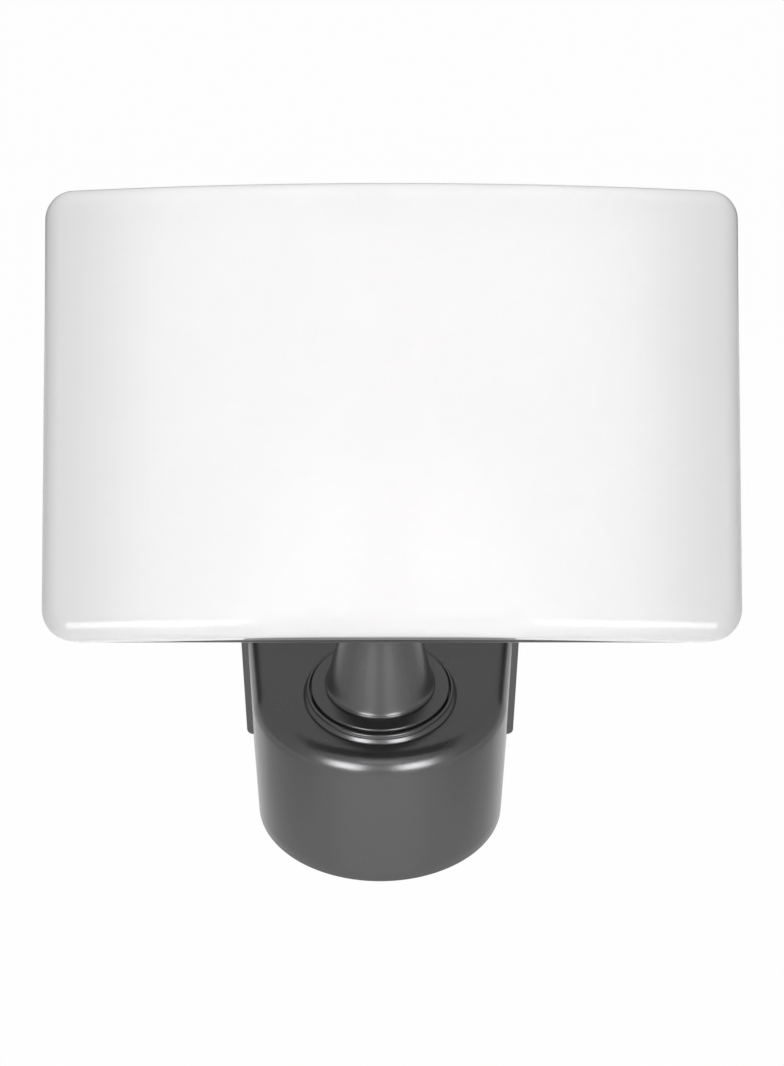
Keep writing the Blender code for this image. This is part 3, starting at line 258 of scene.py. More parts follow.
def slab(outline, low, high, axis, edge=0.0004, holes=(), slots=()):
    """A flat plate: its outline carried between two levels with round edges, pierced by holes and slots.

    A hole is a centre and a profile of (radius, level) points that runs from the low face to the high one.
    """
    turn = np.radians(np.linspace(0, 90, 4))
    inset = np.concatenate((edge * (1 - np.sin(turn)), edge * (1 - np.cos(turn))))
    level = np.concatenate((low + edge * (1 - np.cos(turn)), high - edge * (1 - np.sin(turn))))
    patches = []
    inner_low, inner_high = [], []
    for loop in (outline, *(slot[::-1] for slot in slots)):
        rows = np.stack([drawn_in(loop, distance) for distance in inset])
        patches.append(sheet(upright(rows, level[:, None], axis), loop_columns=True))
        inner_low.append(rows[0])
        inner_high.append(rows[-1])
    for centre, profile in holes:
        profile = np.asarray(profile, float)
        patches.append(turned(profile, 32, axis, centre))
        inner_low.append(circle(profile[0, 0], 32, centre))
        inner_high.append(circle(profile[-1, 0], 32, centre))
    return patches + [flat_face(inner_low, low, axis), flat_face(inner_high, high, axis)]


def plain_hole(centre, radius, low, high, edge=0.0003):
    """A straight hole with eased edges for slab()."""
    profile = [(radius + edge, low), (radius, low + edge), (radius, high - edge), (radius + edge, high)]
    return centre, profile


def merged_mesh(name, patches, move):
    """Patches joined into one mesh, with shared points merged and faces turned outwards."""
    points, faces, first = [], [], 0
    for patch_points, patch_faces in patches:
        points.append(patch_points)
        faces += [(indices + first).tolist() for indices in patch_faces]
        first += len(patch_points)
    mesh = bpy.data.meshes.new(name)
    mesh.from_pydata(move(np.concatenate(points)).tolist(), [], sum(faces, []))
    shape = bmesh.new()
    shape.from_mesh(mesh)
    bmesh.ops.remove_doubles(shape, verts=shape.verts, dist=0.000003)
    bmesh.ops.recalc_face_normals(shape, faces=shape.faces)
    shape.to_mesh(mesh)
    shape.free()
    return mesh


def put(name, data):
    """A new object in the scene."""
    item = bpy.data.objects.new(name, data)
    bpy.context.scene.collection.objects.link(item)
    return item


def cut_or_fused(name, mesh, operation, others):
    """A mesh with others taken away from it or joined to it."""
    body = put(name + "_blank", mesh)
    guides = [put(other.name + "_guide", other) for other in others]
    for guide in guides:
        modifier = body.modifiers.new(guide.name, "BOOLEAN")
        modifier.operation = operation
        modifier.solver = "EXACT"
        modifier.object = guide
    made = bpy.data.meshes.new_from_object(body.evaluated_get(bpy.context.evaluated_depsgraph_get()))
    for spare in (body, *guides):
        bpy.data.objects.remove(spare)
    made.name = name
    return made


def dress(name, mesh, body, slot, crease=32):
    """Puts a finished mesh in the scene on its body, in the place of the part with the same name."""
    mesh.materials.clear()
    mesh.materials.append(FINISHES[slot])
    mesh.shade_smooth()
    mesh.set_sharp_from_angle(angle=math.radians(crease))
    item = put(name + "_finish", mesh)
    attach(item, body)
    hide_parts(name)


def piece(name, patches, body, slot, crease=32):
    """A piece made of patches alone, moved into its body's place and dressed."""
    dress(name, merged_mesh(name, patches, PLACING[body]), body, slot, crease)


# Finishes


def added(nodes, kind, values=()):
    """A new shader node with inputs set by their names."""
    node = nodes.new("ShaderNode" + kind)
    for socket, value in dict(values).items():
        node.inputs[socket].default_value = value
    return node


def mixed(nodes, links, share, first, second):
    """Two shaders mixed: the first where the share is nothing, the second where it is one."""
    blend = added(nodes, "MixShader")
    for socket, value in zip(blend.inputs, (share, first, second)):
        links.new(value, socket)
    return blend.outputs["Shader"]


def finish(name, colour, metallic=0.0, specular=0.5):
    """A new Principled material and its parts."""
    material = bpy.data.materials.new(name)
    material.use_nodes = True
    nodes, links = material.node_tree.nodes, material.node_tree.links
    shader = nodes["Principled BSDF"]
    shader.inputs["Base Color"].default_value = (*colour, 1.0)
    shader.inputs["Metallic"].default_value = metallic
    shader.inputs["Specular IOR Level"].default_value = specular
    place = added(nodes, "TexCoord")
    return material, nodes, links, shader, place.outputs["Object"]


def grain(nodes, links, place, scale, detail=2.0, stretch=(1.0, 1.0, 1.0)):
    """Noise on object coordinates, drawn out along an axis where stretch is small."""
    mapping = added(nodes, "Mapping", {"Scale": stretch})
    noise = added(nodes, "TexNoise", {"Scale": scale, "Detail": detail})
    links.new(place, mapping.inputs["Vector"])
    links.new(mapping.outputs["Vector"], noise.inputs["Vector"])
    return noise.outputs["Fac"]


def flakes(nodes, links, place, scale):
    """Random values in small cells."""
    cells = added(nodes, "TexVoronoi", {"Scale": scale})
    links.new(place, cells.inputs["Vector"])
    split = added(nodes, "SeparateColor")
    links.new(cells.outputs["Color"], split.inputs["Color"])
    return split.outputs["Red"]


def spread(nodes, links, value, low, high, start=0.3, end=0.7):
    """A value between two limits."""
    span = added(nodes, "MapRange", {"From Min": start, "From Max": end, "To Min": low, "To Max": high})
    links.new(value, span.inputs["Value"])
    return span.outputs["Result"]


def tint(nodes, links, value, dark, light, start=0.3, end=0.7):
    """A colour between two colours."""
    ramp = added(nodes, "ValToRGB")
    for stop, place, colour in zip(ramp.color_ramp.elements, (start, end), (dark, light)):
        stop.position = place
        stop.color = (*colour, 1.0)
    links.new(value, ramp.inputs["Fac"])
    return ramp.outputs["Color"]


def relief(nodes, links, shader, height, strength, depth):
    """Bumps in the surface from a height."""
    bump = added(nodes, "Bump", {"Strength": strength, "Distance": depth})
    links.new(height, bump.inputs["Height"])
    links.new(bump.outputs["Normal"], shader.inputs["Normal"])


def metallic_paint():
    """Dark grey satin paint with fine metal flakes and a little orange peel."""
    material, nodes, links, shader, place = finish("grey_metallic_paint", (0.108, 0.108, 0.110), 0.80)
    flake = flakes(nodes, links, place, 1600.0)
    links.new(tint(nodes, links, flake, (0.103, 0.103, 0.105), (0.112, 0.112, 0.114), 0.0, 1.0),
              shader.inputs["Base Color"])
    cloud = grain(nodes, links, place, 45.0, 3.0)
    links.new(spread(nodes, links, cloud, 0.255, 0.275), shader.inputs["Roughness"])
    relief(nodes, links, shader, grain(nodes, links, place, 140.0), 0.02, 0.00006)
    return material


def white_gloss():
    """White gloss acrylic with faint flow marks."""
    material, nodes, links, shader, place = finish("white_gloss_cover", (0.90, 0.90, 0.90), 0.0, 0.3)
    cloud = grain(nodes, links, place, 14.0, 3.0)
    shade = tint(nodes, links, cloud, (0.895, 0.895, 0.895), (0.905, 0.905, 0.905))
    links.new(shade, shader.inputs["Base Color"])
    haze = grain(nodes, links, place, 90.0, 4.0)
    links.new(spread(nodes, links, haze, 0.03, 0.05), shader.inputs["Roughness"])
    relief(nodes, links, shader, grain(nodes, links, place, 24.0), 0.004, 0.0004)
    return material


def moulded_plastic(name, dark, light, roughness, pit):
    """Moulded plastic with a spark-eroded texture."""
    material, nodes, links, shader, place = finish(name, light)
    fine = grain(nodes, links, place, 1400.0, 3.0)
    cloud = grain(nodes, links, place, 40.0, 4.0)
    links.new(tint(nodes, links, cloud, dark, light), shader.inputs["Base Color"])
    links.new(spread(nodes, links, fine, roughness - 0.05, roughness + 0.07), shader.inputs["Roughness"])
    relief(nodes, links, shader, fine, 0.5, pit)
    return material


def bare_metal(name, dark, light, roughness, stretch=(1.0, 1.0, 1.0)):
    """Plated or drawn metal with fine scratches along one axis and cloudy tone."""
    material, nodes, links, shader, place = finish(name, light, 1.0)
    scratch = grain(nodes, links, place, 1500.0, 3.0, stretch)
    cloud = grain(nodes, links, place, 120.0, 4.0)
    links.new(tint(nodes, links, cloud, dark, light), shader.inputs["Base Color"])
    links.new(spread(nodes, links, scratch, roughness - 0.08, roughness + 0.10), shader.inputs["Roughness"])
    relief(nodes, links, shader, scratch, 0.4, 0.00002)
    return material


FINISHES = {
    "grey_paint": metallic_paint(),
    "white_cover": white_gloss(),
    "dark_plastic": moulded_plastic("dark_plastic", (0.08, 0.08, 0.083), (0.10, 0.10, 0.104), 0.42, 0.00006),
    "rubber": moulded_plastic("black_rubber", (0.022, 0.022, 0.022), (0.032, 0.032, 0.032), 0.72, 0.00005),
    "nylon": moulded_plastic("nylon", (0.64, 0.63, 0.58), (0.71, 0.70, 0.65), 0.45, 0.00003),
    "board": moulded_plastic("board_laminate", (0.045, 0.19, 0.09), (0.065, 0.23, 0.12), 0.38, 0.00002),
    "steel": bare_metal("zinc_steel", (0.48, 0.48, 0.50), (0.60, 0.60, 0.61), 0.30),
    "aluminium": bare_metal("aluminium_sheet", (0.68, 0.69, 0.7), (0.76, 0.77, 0.78), 0.34, (0.06, 1.0, 1.0)),
    "brass": bare_metal("brass", (0.66, 0.49, 0.21), (0.76, 0.58, 0.29), 0.26, (1.0, 1.0, 0.2)),
}


# Wall base

COVER_SCREWS = ((-0.057, 0.030), (0.057, 0.030), (0.0, -0.042), (-0.032, 0.051), (0.032, 0.051))


def body_path():
    """The body's plan from the plate, round the front and back: points and inset directions.

    The sides are straight and flare to the plate. The front is the ellipse (A sin t, B (c - cos t)) that
    meets them without a kink. Inset directions are normals, leaning along the sides so that the ends stay on
    the plate's plane.
    """
    flare = (BODY_BACK_HALF - BODY_HALF) / TO_PLATE
    share = flare * BODY_REACH / BODY_HALF
    last_cosine = share / (1.0 - share)
    last = math.acos(last_cosine)
    depth = BODY_REACH / (1.0 - last_cosine)
    width = BODY_HALF / math.sin(last)
    back = TO_PLATE - SEAT_GAP
    turn = np.linspace(last, -last, 121)
    front = np.stack((width * np.sin(turn), depth * (last_cosine - np.cos(turn))), axis=-1)
    normal = unit(np.stack((depth * np.sin(turn), -width * np.cos(turn)), axis=-1))
    along = np.linspace(back, 0.0, 24, endpoint=False)
    side = np.stack((BODY_HALF + flare * along, along), axis=-1)
    length = math.sqrt(1.0 + flare * flare)
    slide = (along / back)[:, None] * flare
    lean = (np.array((1.0, -flare)) + slide * np.array((flare, 1.0))) / length
    mirror = np.array((-1.0, 1.0))
    points = np.concatenate((side, front, side[::-1] * mirror))
    return points, np.concatenate((lean, normal, lean[::-1] * mirror))


def stop_slot():
    """The curved slot for the stop pin, as an outline."""
    outer = arc((0.0, 0.0), 0.0336, 40.2, 139.8, 33)
    inner = arc((0.0, 0.0), 0.0284, 139.8, 40.2, 33)
    return np.concatenate((outer, inner))


def base_housing():
    """The hollow body: a wall profile carried along the plan, with a flat top and ceiling between its ends.

    The profile comes down the inside, crosses the lower rim, climbs the outside and rolls over.
    """
    path, inward = body_path()
    inner_roll = BODY_ROLL - BODY_WALL
    turn = np.radians(np.linspace(0, 90, 17))
    sine, cosine = np.sin(turn), np.cos(turn)
    inside = np.stack((BODY_ROLL - inner_roll * sine, CEILING - inner_roll * (1 - cosine)), axis=-1)
    outside = np.stack((BODY_ROLL * (1 - sine), BODY_TOP - BODY_ROLL * (1 - cosine)), axis=-1)[::-1]
    ease = 0.0006
    rim = arc((ease, BODY_BOTTOM + ease), ease, 270, 180, 4)
    wall = np.linspace(BODY_BOTTOM + ease, BODY_TOP - BODY_ROLL, 12)[1:-1]
    outer_wall = np.stack((np.zeros(10), wall), axis=-1)
    profile = np.concatenate((inside, [(BODY_WALL, BODY_BOTTOM)], rim, outer_wall, outside))
    rows = path[None] - profile[:, None, :1] * inward[None]
    walls = sheet(upright(rows, profile[:, None, 1], "Z"))
    holes = (circle(BUSH_HOLE, 64), stop_slot())
    patches = [walls, flat_face((rows[-1], *holes), BODY_TOP, "Z"),
               flat_face((rows[0], *holes), CEILING, "Z")]
    through = np.array([[BODY_TOP], [CEILING]])
    for hole in holes:
        patches.append(sheet(upright(np.stack((hole, hole)), through, "Z"), loop_columns=True))
    levels = np.concatenate((profile[::-1, 1], profile[:, 1]))
    ends = upright(np.concatenate((rows[::-1, 0], rows[:, -1])), levels, "Z")
    patches.append((ends, [np.arange(len(ends))[None]]))
    piece("base_housing", patches, "wall_base", "grey_paint")


def mounting_plate():
    """The wall plate with four holes, and the two lips that the body slides over."""
    middle = (BODY_TOP + BODY_BOTTOM) / 2
    half_height = (BODY_TOP - BODY_BOTTOM) / 2 - 0.0020
    wall = TO_PLATE + PLATE_THICK
    holes = [plain_hole((x, middle + z), 0.00275, TO_PLATE, wall)
             for x in (-0.060, 0.060) for z in (-0.0265, 0.0265)]
    outline = rounded_box(PLATE_HALF, half_height, 0.0040, (0.0, middle))
    plate = merged_mesh("mounting_plate", slab(outline, TO_PLATE, wall, "Y", 0.0007, holes), in_base)
    lips = []
    for name, low, drilled in (("upper_lip", CEILING - SEAT_GAP - LIP_THICK, ()),
                               ("lower_lip", COVER_TOP + SEAT_GAP, COVER_SCREWS[3:])):
        high = low + LIP_THICK
        tongue = rounded_box(0.0450, 0.0120, 0.0015, (0.0, TO_PLATE - 0.0100), 5)
        holes = [plain_hole(place, COVER_HOLE, low, high) for place in drilled]
        lips.append(merged_mesh(name, slab(tongue, low, high, "Z", 0.0004, holes), in_base))
    mesh = cut_or_fused("mounting_plate", plate, "UNION", lips)
    dress("mounting_plate", mesh, "wall_base", "grey_paint")


def bottom_cover():
    """The lid under the body, with a counterbored hole for each screw."""
    path, inward = body_path()
    outline = (path - 0.0039 * inward)[::-1]
    outline[:, 1] = np.minimum(outline[:, 1], TO_PLATE - SEAT_GAP)
    bore = [(0.0040, BODY_BOTTOM), (0.0037, BODY_BOTTOM + 0.0003), (0.0037, COVER_SEAT),
            (COVER_HOLE, COVER_SEAT), (COVER_HOLE, COVER_TOP)]
    holes = [(place, bore) for place in COVER_SCREWS]
    cover = slab(outline, BODY_BOTTOM, COVER_TOP, "Z", 0.0004, holes)
    piece("bottom_cover", cover, "wall_base", "grey_paint")


def bearing_ring():
    """The stepped ring round the turning disc: a closed profile carried round the swivel axis."""
    step = RING_OUTER - 0.0020
    foot = BODY_TOP + SEAT_GAP
    profile = eased(((RING_INNER, -0.0019, 0.0004), (step, -0.0019, 0.0008),
                     (step + 0.0003, -0.0038, 0.0002), (RING_OUTER - 0.0012, -0.0040, 0.0004),
                     (RING_OUTER, -0.0060, 0.0006), (RING_OUTER, foot, 0.0), (RING_INNER, foot, 0.0)), 9)
    piece("bearing_ring", [turned(profile, 160, looped=True)], "wall_base", "grey_paint")


def swivel_disc():
    """The turning disc and its hollow spigot, as one turned piece."""
    bore, end = 0.0090, -0.0340
    profile = eased(((DISC_RADIUS, 0.0, 0.0010), (DISC_RADIUS, -DISC_THICK, 0.0004),
                     (SPIGOT_RADIUS, -DISC_THICK, 0.0), (SPIGOT_RADIUS, end, 0.0006), (bore, end, 0.0004),
                     (bore, 0.0, 0.0)), 6)
    piece("swivel_disc", [turned(profile, 160, looped=True)], "stem", "grey_paint")


def bearing_inside():
    """The bush, spring washer and stop pin between the disc and the body."""
    head, flange, end = -0.0045, BODY_TOP + SEAT_GAP, CEILING - 0.0120
    bush = eased(((0.0270, head, 0.0003), (0.0270, flange, 0.0), (0.0180, flange, 0.0),
                  (0.0180, end, 0.0004), (SPIGOT_HOLE, end, 0.0), (SPIGOT_HOLE, head, 0.0)), 4)
    top = CEILING - 0.0123
    spring = ((0.0210, top), (0.0210, top - 0.0010), (SPIGOT_HOLE, top - 0.0016), (SPIGOT_HOLE, top - 0.0006))
    piece("swivel_bush", [turned(bush, 64, looped=True)], "wall_base", "nylon")
    piece("spring_washer", [turned(spring, 64, looped=True)], "wall_base", "steel")
    pin = eased(((0.0, -0.0010, 0.0), (0.0020, -0.0010, 0.0003),
                 (0.0020, -0.0100, 0.0004), (0.0, -0.0100, 0.0)), 4)
    piece("stop_pin", [turned(pin, 24, centre=(0.0, 0.0310))], "stem", "steel")


# Stem and tilt hinge


def stem_wall():
    """The stem's outer profile: a straight column, a long bend into a cone, a flare and a round foot."""
    bend_level, reach, slope = 0.0527, 0.0170, 0.0110 / 0.0487
    late = np.linspace(0.0, 1.0, 25)[:, None]
    top = np.array((STEM_RADIUS, bend_level + reach))
    foot = np.array((STEM_RADIUS + slope * reach, bend_level - reach))
    blend = bend(top, np.array((STEM_RADIUS, bend_level)), foot, late)
    low = np.array((0.0285 - slope * 0.0045, 0.0085))
    cone = np.linspace(foot, low, 9)[1:]
    flare = bend(low, np.array((0.0287, 0.0030)), np.array((0.0293, 0.0022)), late)
    skirt = arc((0.0289, 0.0013), 0.0011, 66, 0, 9)
    return np.concatenate((blend, cone, flare[1:], skirt[1:], [(0.0300, SEAT_GAP)]))


def pin_drill():
    """A drill across the stem's top, where the pin goes through it."""
    bore = ((0.0, -0.03), (0.0022, -0.03), (0.0022, 0.03), (0.0, 0.03))
    return merged_mesh("pin_hole", [turned(bore, 32, "X", (0.0, PIN_LEVEL))], in_base)


def stem():
    """The hollow conical stem, with the cross hole for the pin that holds the knuckle."""
    top = [(STEM_BORE, STEM_LENGTH), (STEM_RADIUS - 0.0006, STEM_LENGTH),
           (STEM_RADIUS, STEM_LENGTH - 0.0006)]
    levels = np.linspace(STEM_LENGTH - 0.0010, 0.0720, 14)
    column = np.stack((np.full(14, STEM_RADIUS), levels), axis=-1)
    profile = np.concatenate((top, column, stem_wall(), [(STEM_BORE, SEAT_GAP)]))
    blank = merged_mesh("stem", [turned(profile, 144, looped=True)], in_base)
    mesh = cut_or_fused("stem", blank, "DIFFERENCE", [pin_drill()])
    dress("stem", mesh, "stem", "grey_paint")


def tilt_knuckle():
    """The tongue on the stem's top: a turned plug and shoulder fused with a round-ended plate."""
    foot = STEM_LENGTH + SEAT_GAP
    shoulder, end, fit = foot + 0.0035, STEM_LENGTH - 0.025, STEM_BORE - PLAY
    plug = eased(((0.0, shoulder, 0.0), (STEM_RADIUS, shoulder, 0.0012), (STEM_RADIUS, foot, 0.0005),
                  (fit, foot, 0.0), (fit, end, 0.0006), (0.0, end, 0.0)), 5)
    turned_plug = merged_mesh("tilt_knuckle", [turned(plug, 96)], in_base)
    round_end = arc((0.0, HINGE_RISE), HINGE_RADIUS, -15, 195, 49)
    outline = np.concatenate(([(0.0120, foot + 0.0018)], round_end, [(-0.0120, foot + 0.0018)]))
    hole = plain_hole((0.0, HINGE_RISE), HINGE_BORE, -LAP_OUTER, -LAP)
    tongue = merged_mesh("tongue", slab(outline, -LAP_OUTER, -LAP, "X", 0.0008, [hole]), in_base)
    fused = cut_or_fused("tilt_knuckle", turned_plug, "UNION", [tongue])
    mesh = cut_or_fused("tilt_knuckle", fused, "DIFFERENCE", [pin_drill()])
    dress("tilt_knuckle", mesh, "stem", "grey_paint")
    pin = eased(((0.0, -0.0172, 0.0), (0.0020, -0.0172, 0.0004),
                 (0.0020, 0.0172, 0.0004), (0.0, 0.0172, 0.0)), 4)
    piece("knuckle_pin", [turned(pin, 32, "X", (0.0, PIN_LEVEL))], "stem", "steel")


def head_bracket():
    """The bracket on the head's back: a plate fused with the lug that laps the tongue."""
    front = BACK + SEAT_GAP
    back = front + BRACKET_THICK
    holes = [plain_hole(place, BRACKET_HOLE, front, back) for place in BRACKET_SCREWS]
    outline = rounded_box(0.0350, 0.0300, 0.0050, (HEAD_OFFSET, 0.0))
    plate = merged_mesh("head_bracket", slab(outline, front, back, "Y", 0.0008, holes), in_head)
    end = arc((0.0, 0.0), HINGE_RADIUS, -90, 90, 41)
    sweep = np.linspace(0.0, 1.0, 9)[:, None]
    foot, turn_in = np.array((front + 0.0025, -0.0245)), np.array((back + 0.0075, -HINGE_RADIUS))
    flank = bend(foot, np.array((back, -HINGE_RADIUS)), turn_in, sweep)
    outline = np.concatenate((flank, end, flank[::-1] * np.array((1.0, -1.0))))
    hole = plain_hole((0.0, 0.0), HINGE_BORE, LAP, LAP_OUTER)
    lug = merged_mesh("lug", slab(outline, LAP, LAP_OUTER, "X", 0.0008, [hole]), in_head)
    mesh = cut_or_fused("head_bracket", plate, "UNION", [lug])
    dress("head_bracket", mesh, "head", "grey_paint")


def hexagon(across, steps):
    """A hexagon's radius at each step: half its width across flats over the cosine from a flat's middle."""
    turn = np.linspace(0.0, 2 * math.pi, steps, endpoint=False)
    return across / 2 / np.cos((turn + math.pi / 6) % (math.pi / 3) - math.pi / 6)


def nut(name, across, low, high, bore, axis, centre, body):
    """A hexagon nut whose corners are cut by a thirty-degree cone, with a chamfered bore."""
    steps = 96
    flat = hexagon(across, steps)
    crown = across / 2 * 0.95
    drop = (flat - crown) * math.tan(math.radians(30))
    edge = 0.0004
    rows = [(bore, low + edge), (bore + edge, low), (crown, low), (flat, low + drop), (flat, high - drop),
            (crown, high), (bore + edge, high), (bore, high - edge), (bore, low + edge)]
    piece(name, [lathed(*rings(rows, steps), axis, centre)], body, "steel", 24)


def threaded(radius, depth, pitch, low, high, steps, rows_per_turn=8):
    """Rows of a screw thread: the radius falls and rises once a pitch along it and turns with the helix."""
    count = max(3, int(round((high - low) / pitch * rows_per_turn)))
    level = np.linspace(low, high, count)[:, None]
    turn = np.linspace(0.0, 1.0, steps, endpoint=False)[None]
    wave = np.abs(2 * ((level / pitch - turn) % 1.0) - 1.0)
    ease = np.clip(np.minimum(level - low, high - level) / pitch, 0.0, 1.0)
    groove = radius - depth * (1 - ease) - depth * ease * np.clip(1.4 * wave - 0.2, 0.0, 1.0)
    return groove, np.broadcast_to(level, (count, steps))


def screw(name, kind, length, body, place, axis, facing):
    """A pan-head screw: its cross recess and dome are rows whose radius follows the cross, then a circle.

    The cross is the smaller of an arm's length and its half width over the sine from the arm's axis.
    """
    head, height, shank = kind
    steps, centre, seat = 96, place[:2], place[2]
    turn = np.linspace(0.0, 2 * math.pi, steps, endpoint=False)
    off_axis = np.abs((turn + math.pi / 4) % (math.pi / 2) - math.pi / 4)
    cross = np.minimum(0.56 * head, 0.13 * head / np.maximum(np.sin(off_axis), 0.01))

    def dome(radius):
        return height - 0.45 * height * (radius / head) ** 2.4

    floor = 0.42 * height
    rows = [(0.0, floor), (0.55 * cross, floor), (0.96 * cross, dome(cross) - 0.04 * height),
            (1.06 * cross, dome(1.06 * cross))]
    for share in (0.35, 0.7, 0.9, 1.0):
        ring = (1 - share) * 1.06 * cross + share * head * 0.98
        rows.append((ring, dome(ring)))
    rows += [(head, 0.45 * height), (head, 0.06 * height), (0.97 * head, 0.0), (shank, 0.0),
             (shank, -length * 0.94), (0.6 * shank, -length), (0.0, -length)]
    radius, level = rings(rows, steps)
    piece(name, [lathed(radius, seat + facing * level, axis, centre)], body, "steel", 28)


def tilt_bolt():
    """The hinge bolt: a button head with a hexagon socket, a plain shank and a threaded tail."""
    steps = 96
    socket = hexagon(0.0056, steps)
    base = -LAP_OUTER - SEAT_GAP
    top = base - 0.0055
    shank, thread_start = 0.0049, 0.0138
    rows = [(0.0, top + 0.0032), (0.9 * socket, top + 0.0032), (socket, top + 0.0028),
            (socket, top + 0.0002), (1.05 * socket, top), (0.0050, top)]
    for angle in np.radians(np.linspace(15, 90, 7)):
        rows.append((0.0050 + 0.0040 * math.sin(angle), base - 0.0012 - 0.0043 * math.cos(angle)))
    rows += [(0.0090, base - 0.0003), (0.0087, base), (shank, base), (shank, thread_start)]
    rows += zip(*threaded(shank, 0.00055, 0.00125, thread_start, 0.0232, steps))
    rows += [(0.0043, 0.0234), (0.0, 0.0234)]
    piece("tilt_bolt", [lathed(*rings(rows, steps), "X")], "head", "steel", 28)


def hinge_washers():
    """The washer under the tilt nut and the friction washer between tongue and lug."""
    low = LAP_OUTER + SEAT_GAP
    plain = eased(((0.0100, low, 0.0004), (0.0100, low + 0.0018, 0.0004),
                   (HINGE_BORE, low + 0.0018, 0.0003), (HINGE_BORE, low, 0.0)), 4)
    friction = ((0.0167, -0.0007), (0.0167, 0.0007), (HINGE_BORE, 0.0007), (HINGE_BORE, -0.0007))
    piece("tilt_washer", [turned(plain, 72, "X", looped=True)], "head", "steel")
    piece("friction_washer", [turned(friction, 72, "X", looped=True)], "head", "nylon")


# Head


def head_edge():
    """The head's outline, counter-clockwise, as points and outward normals: straight edges and arcs."""
    lean = math.atan2(HEAD_TOP_HALF - HEAD_BOTTOM_HALF, HEAD_HEIGHT)
    tilt = math.degrees(lean)

    def corner(side, up, radius, start, end):
        level = up * (HEAD_HEIGHT / 2 - radius)
        half = HEAD_BOTTOM_HALF + (level / HEAD_HEIGHT + 0.5) * (HEAD_TOP_HALF - HEAD_BOTTOM_HALF)
        normals = arc((0.0, 0.0), 1.0, start, end, 17)
        return normals * radius + np.array((side * (half - radius / math.cos(lean)), level)), normals

    corners = (corner(1, -1, BOTTOM_CORNER, -90, -tilt), corner(1, 1, TOP_CORNER, -tilt, 90),
               corner(-1, 1, TOP_CORNER, 90, 180 + tilt), corner(-1, -1, BOTTOM_CORNER, 180 + tilt, 270))
    points, normals = [], []
    for index, (arc_points, arc_normals) in enumerate(corners):
        following = corners[(index + 1) % 4][0][0]
        count = 50 if index % 2 == 0 else 78
        share = np.linspace(0.0, 1.0, count)[1:-1, None]
        points += [arc_points, (1 - share) * arc_points[-1] + share * following]
        normals += [arc_normals, np.repeat(arc_normals[-1:], count - 2, axis=0)]
    return np.concatenate(points), np.concatenate(normals)


def arched(rows, depth, arch):
    """Rows of outline points at their depths, raised along the arched lower edge."""
    x, z = rows[..., 0], rows[..., 1]
    share = (x / HEAD_TOP_HALF) ** 2
    lift = arch * (1.0 - share) * np.maximum(0.0, -2 * z / HEAD_HEIGHT)
    return np.stack((HEAD_OFFSET + x, np.broadcast_to(depth, x.shape), z + lift), axis=-1)


def dome_rows(inset, roll, skin, reach):
    """One skin of the radome from the middle of its face to a depth: spokes, a rolled rim, a straight wall.

    Along the rim the inset falls as roll (1 - sin t) while the depth gains roll (1 - cos t) over the crowned
    face.
    """
    edge, normal = head_edge()
    turn = np.radians(np.linspace(0, 90, 19))
    spoke = np.linspace(0.0, 1.0, 25)[:-1, None, None] * (edge - (inset + roll) * normal)[None]
    rim = edge[None] - (inset + roll * (1 - np.sin(turn)))[:, None, None] * normal[None]
    rows = np.concatenate((spoke, rim))
    gain = np.concatenate((np.zeros(24), roll * (1 - np.cos(turn))))[:, None]
    depth = FACE + skin + CROWN * (rows[..., 0] / HEAD_TOP_HALF) ** 2 + gain
    wall = np.repeat((edge - inset * normal)[None], 6, axis=0)
    share = np.linspace(0.0, 1.0, 7)[1:, None]
    wall_depth = (1 - share) * depth[-1:] + share * reach
    return np.concatenate((rows, wall)), np.concatenate((depth, wall_depth))


def radome():
    """The white cover: an outer and an inner dome joined round a rounded lip."""
    outer, outer_depth = dome_rows(0.0, RADOME_ROLL, 0.0, SPLIT - 0.0004)
    inner, inner_depth = dome_rows(RADOME_WALL, RADOME_ROLL - RADOME_WALL, RADOME_WALL, SPLIT)
    edge, normal = head_edge()
    lip = (edge - 0.0004 * normal)[None]
    rows = np.concatenate((outer, lip, inner[::-1]))
    depth = np.concatenate((outer_depth, np.full((1, len(edge)), SPLIT), inner_depth[::-1]))
    piece("radome", [sheet(arched(rows, depth, ARCH), loop_columns=True)], "head", "white_cover", 40)


def gasket():
    """The rubber seal between the shells: a rounded strip carried round the head's outline."""
    edge, normal = head_edge()
    low, high = SPLIT + SEAT_GAP, RIM - SEAT_GAP
    inset = np.array((0.0012, 0.0009, 0.0009, 0.0012, 0.0034, 0.0034))
    depth = np.array((low, low + 0.0003, high - 0.0003, high, high, low))
    rows = edge[None] - inset[:, None, None] * normal[None]
    strip = sheet(arched(rows, depth[:, None], 0.0), loop_rows=True, loop_columns=True)
    piece("gasket", [strip], "head", "rubber")


def shell_screw(side, up):
    """The place of a screw in the back shell, at the same distance inside each edge of the head."""
    inset = 0.0160
    rise = up * (HEAD_HEIGHT / 2 - inset)
    middle, flare = (HEAD_TOP_HALF + HEAD_BOTTOM_HALF) / 2, HEAD_TOP_HALF - HEAD_BOTTOM_HALF
    return HEAD_OFFSET + side * (middle + rise * flare / HEAD_HEIGHT - inset), rise


SHELL_SCREWS = tuple(shell_screw(side, up) for up in (-1, 1) for side in (-1, 0, 1))
BRACKET_SCREWS = tuple((HEAD_OFFSET + side * 0.0275, up * 0.0225) for up in (-1, 1) for side in (-1, 1))
SOCKET = (HEAD_OFFSET + 0.0700, -0.0520)


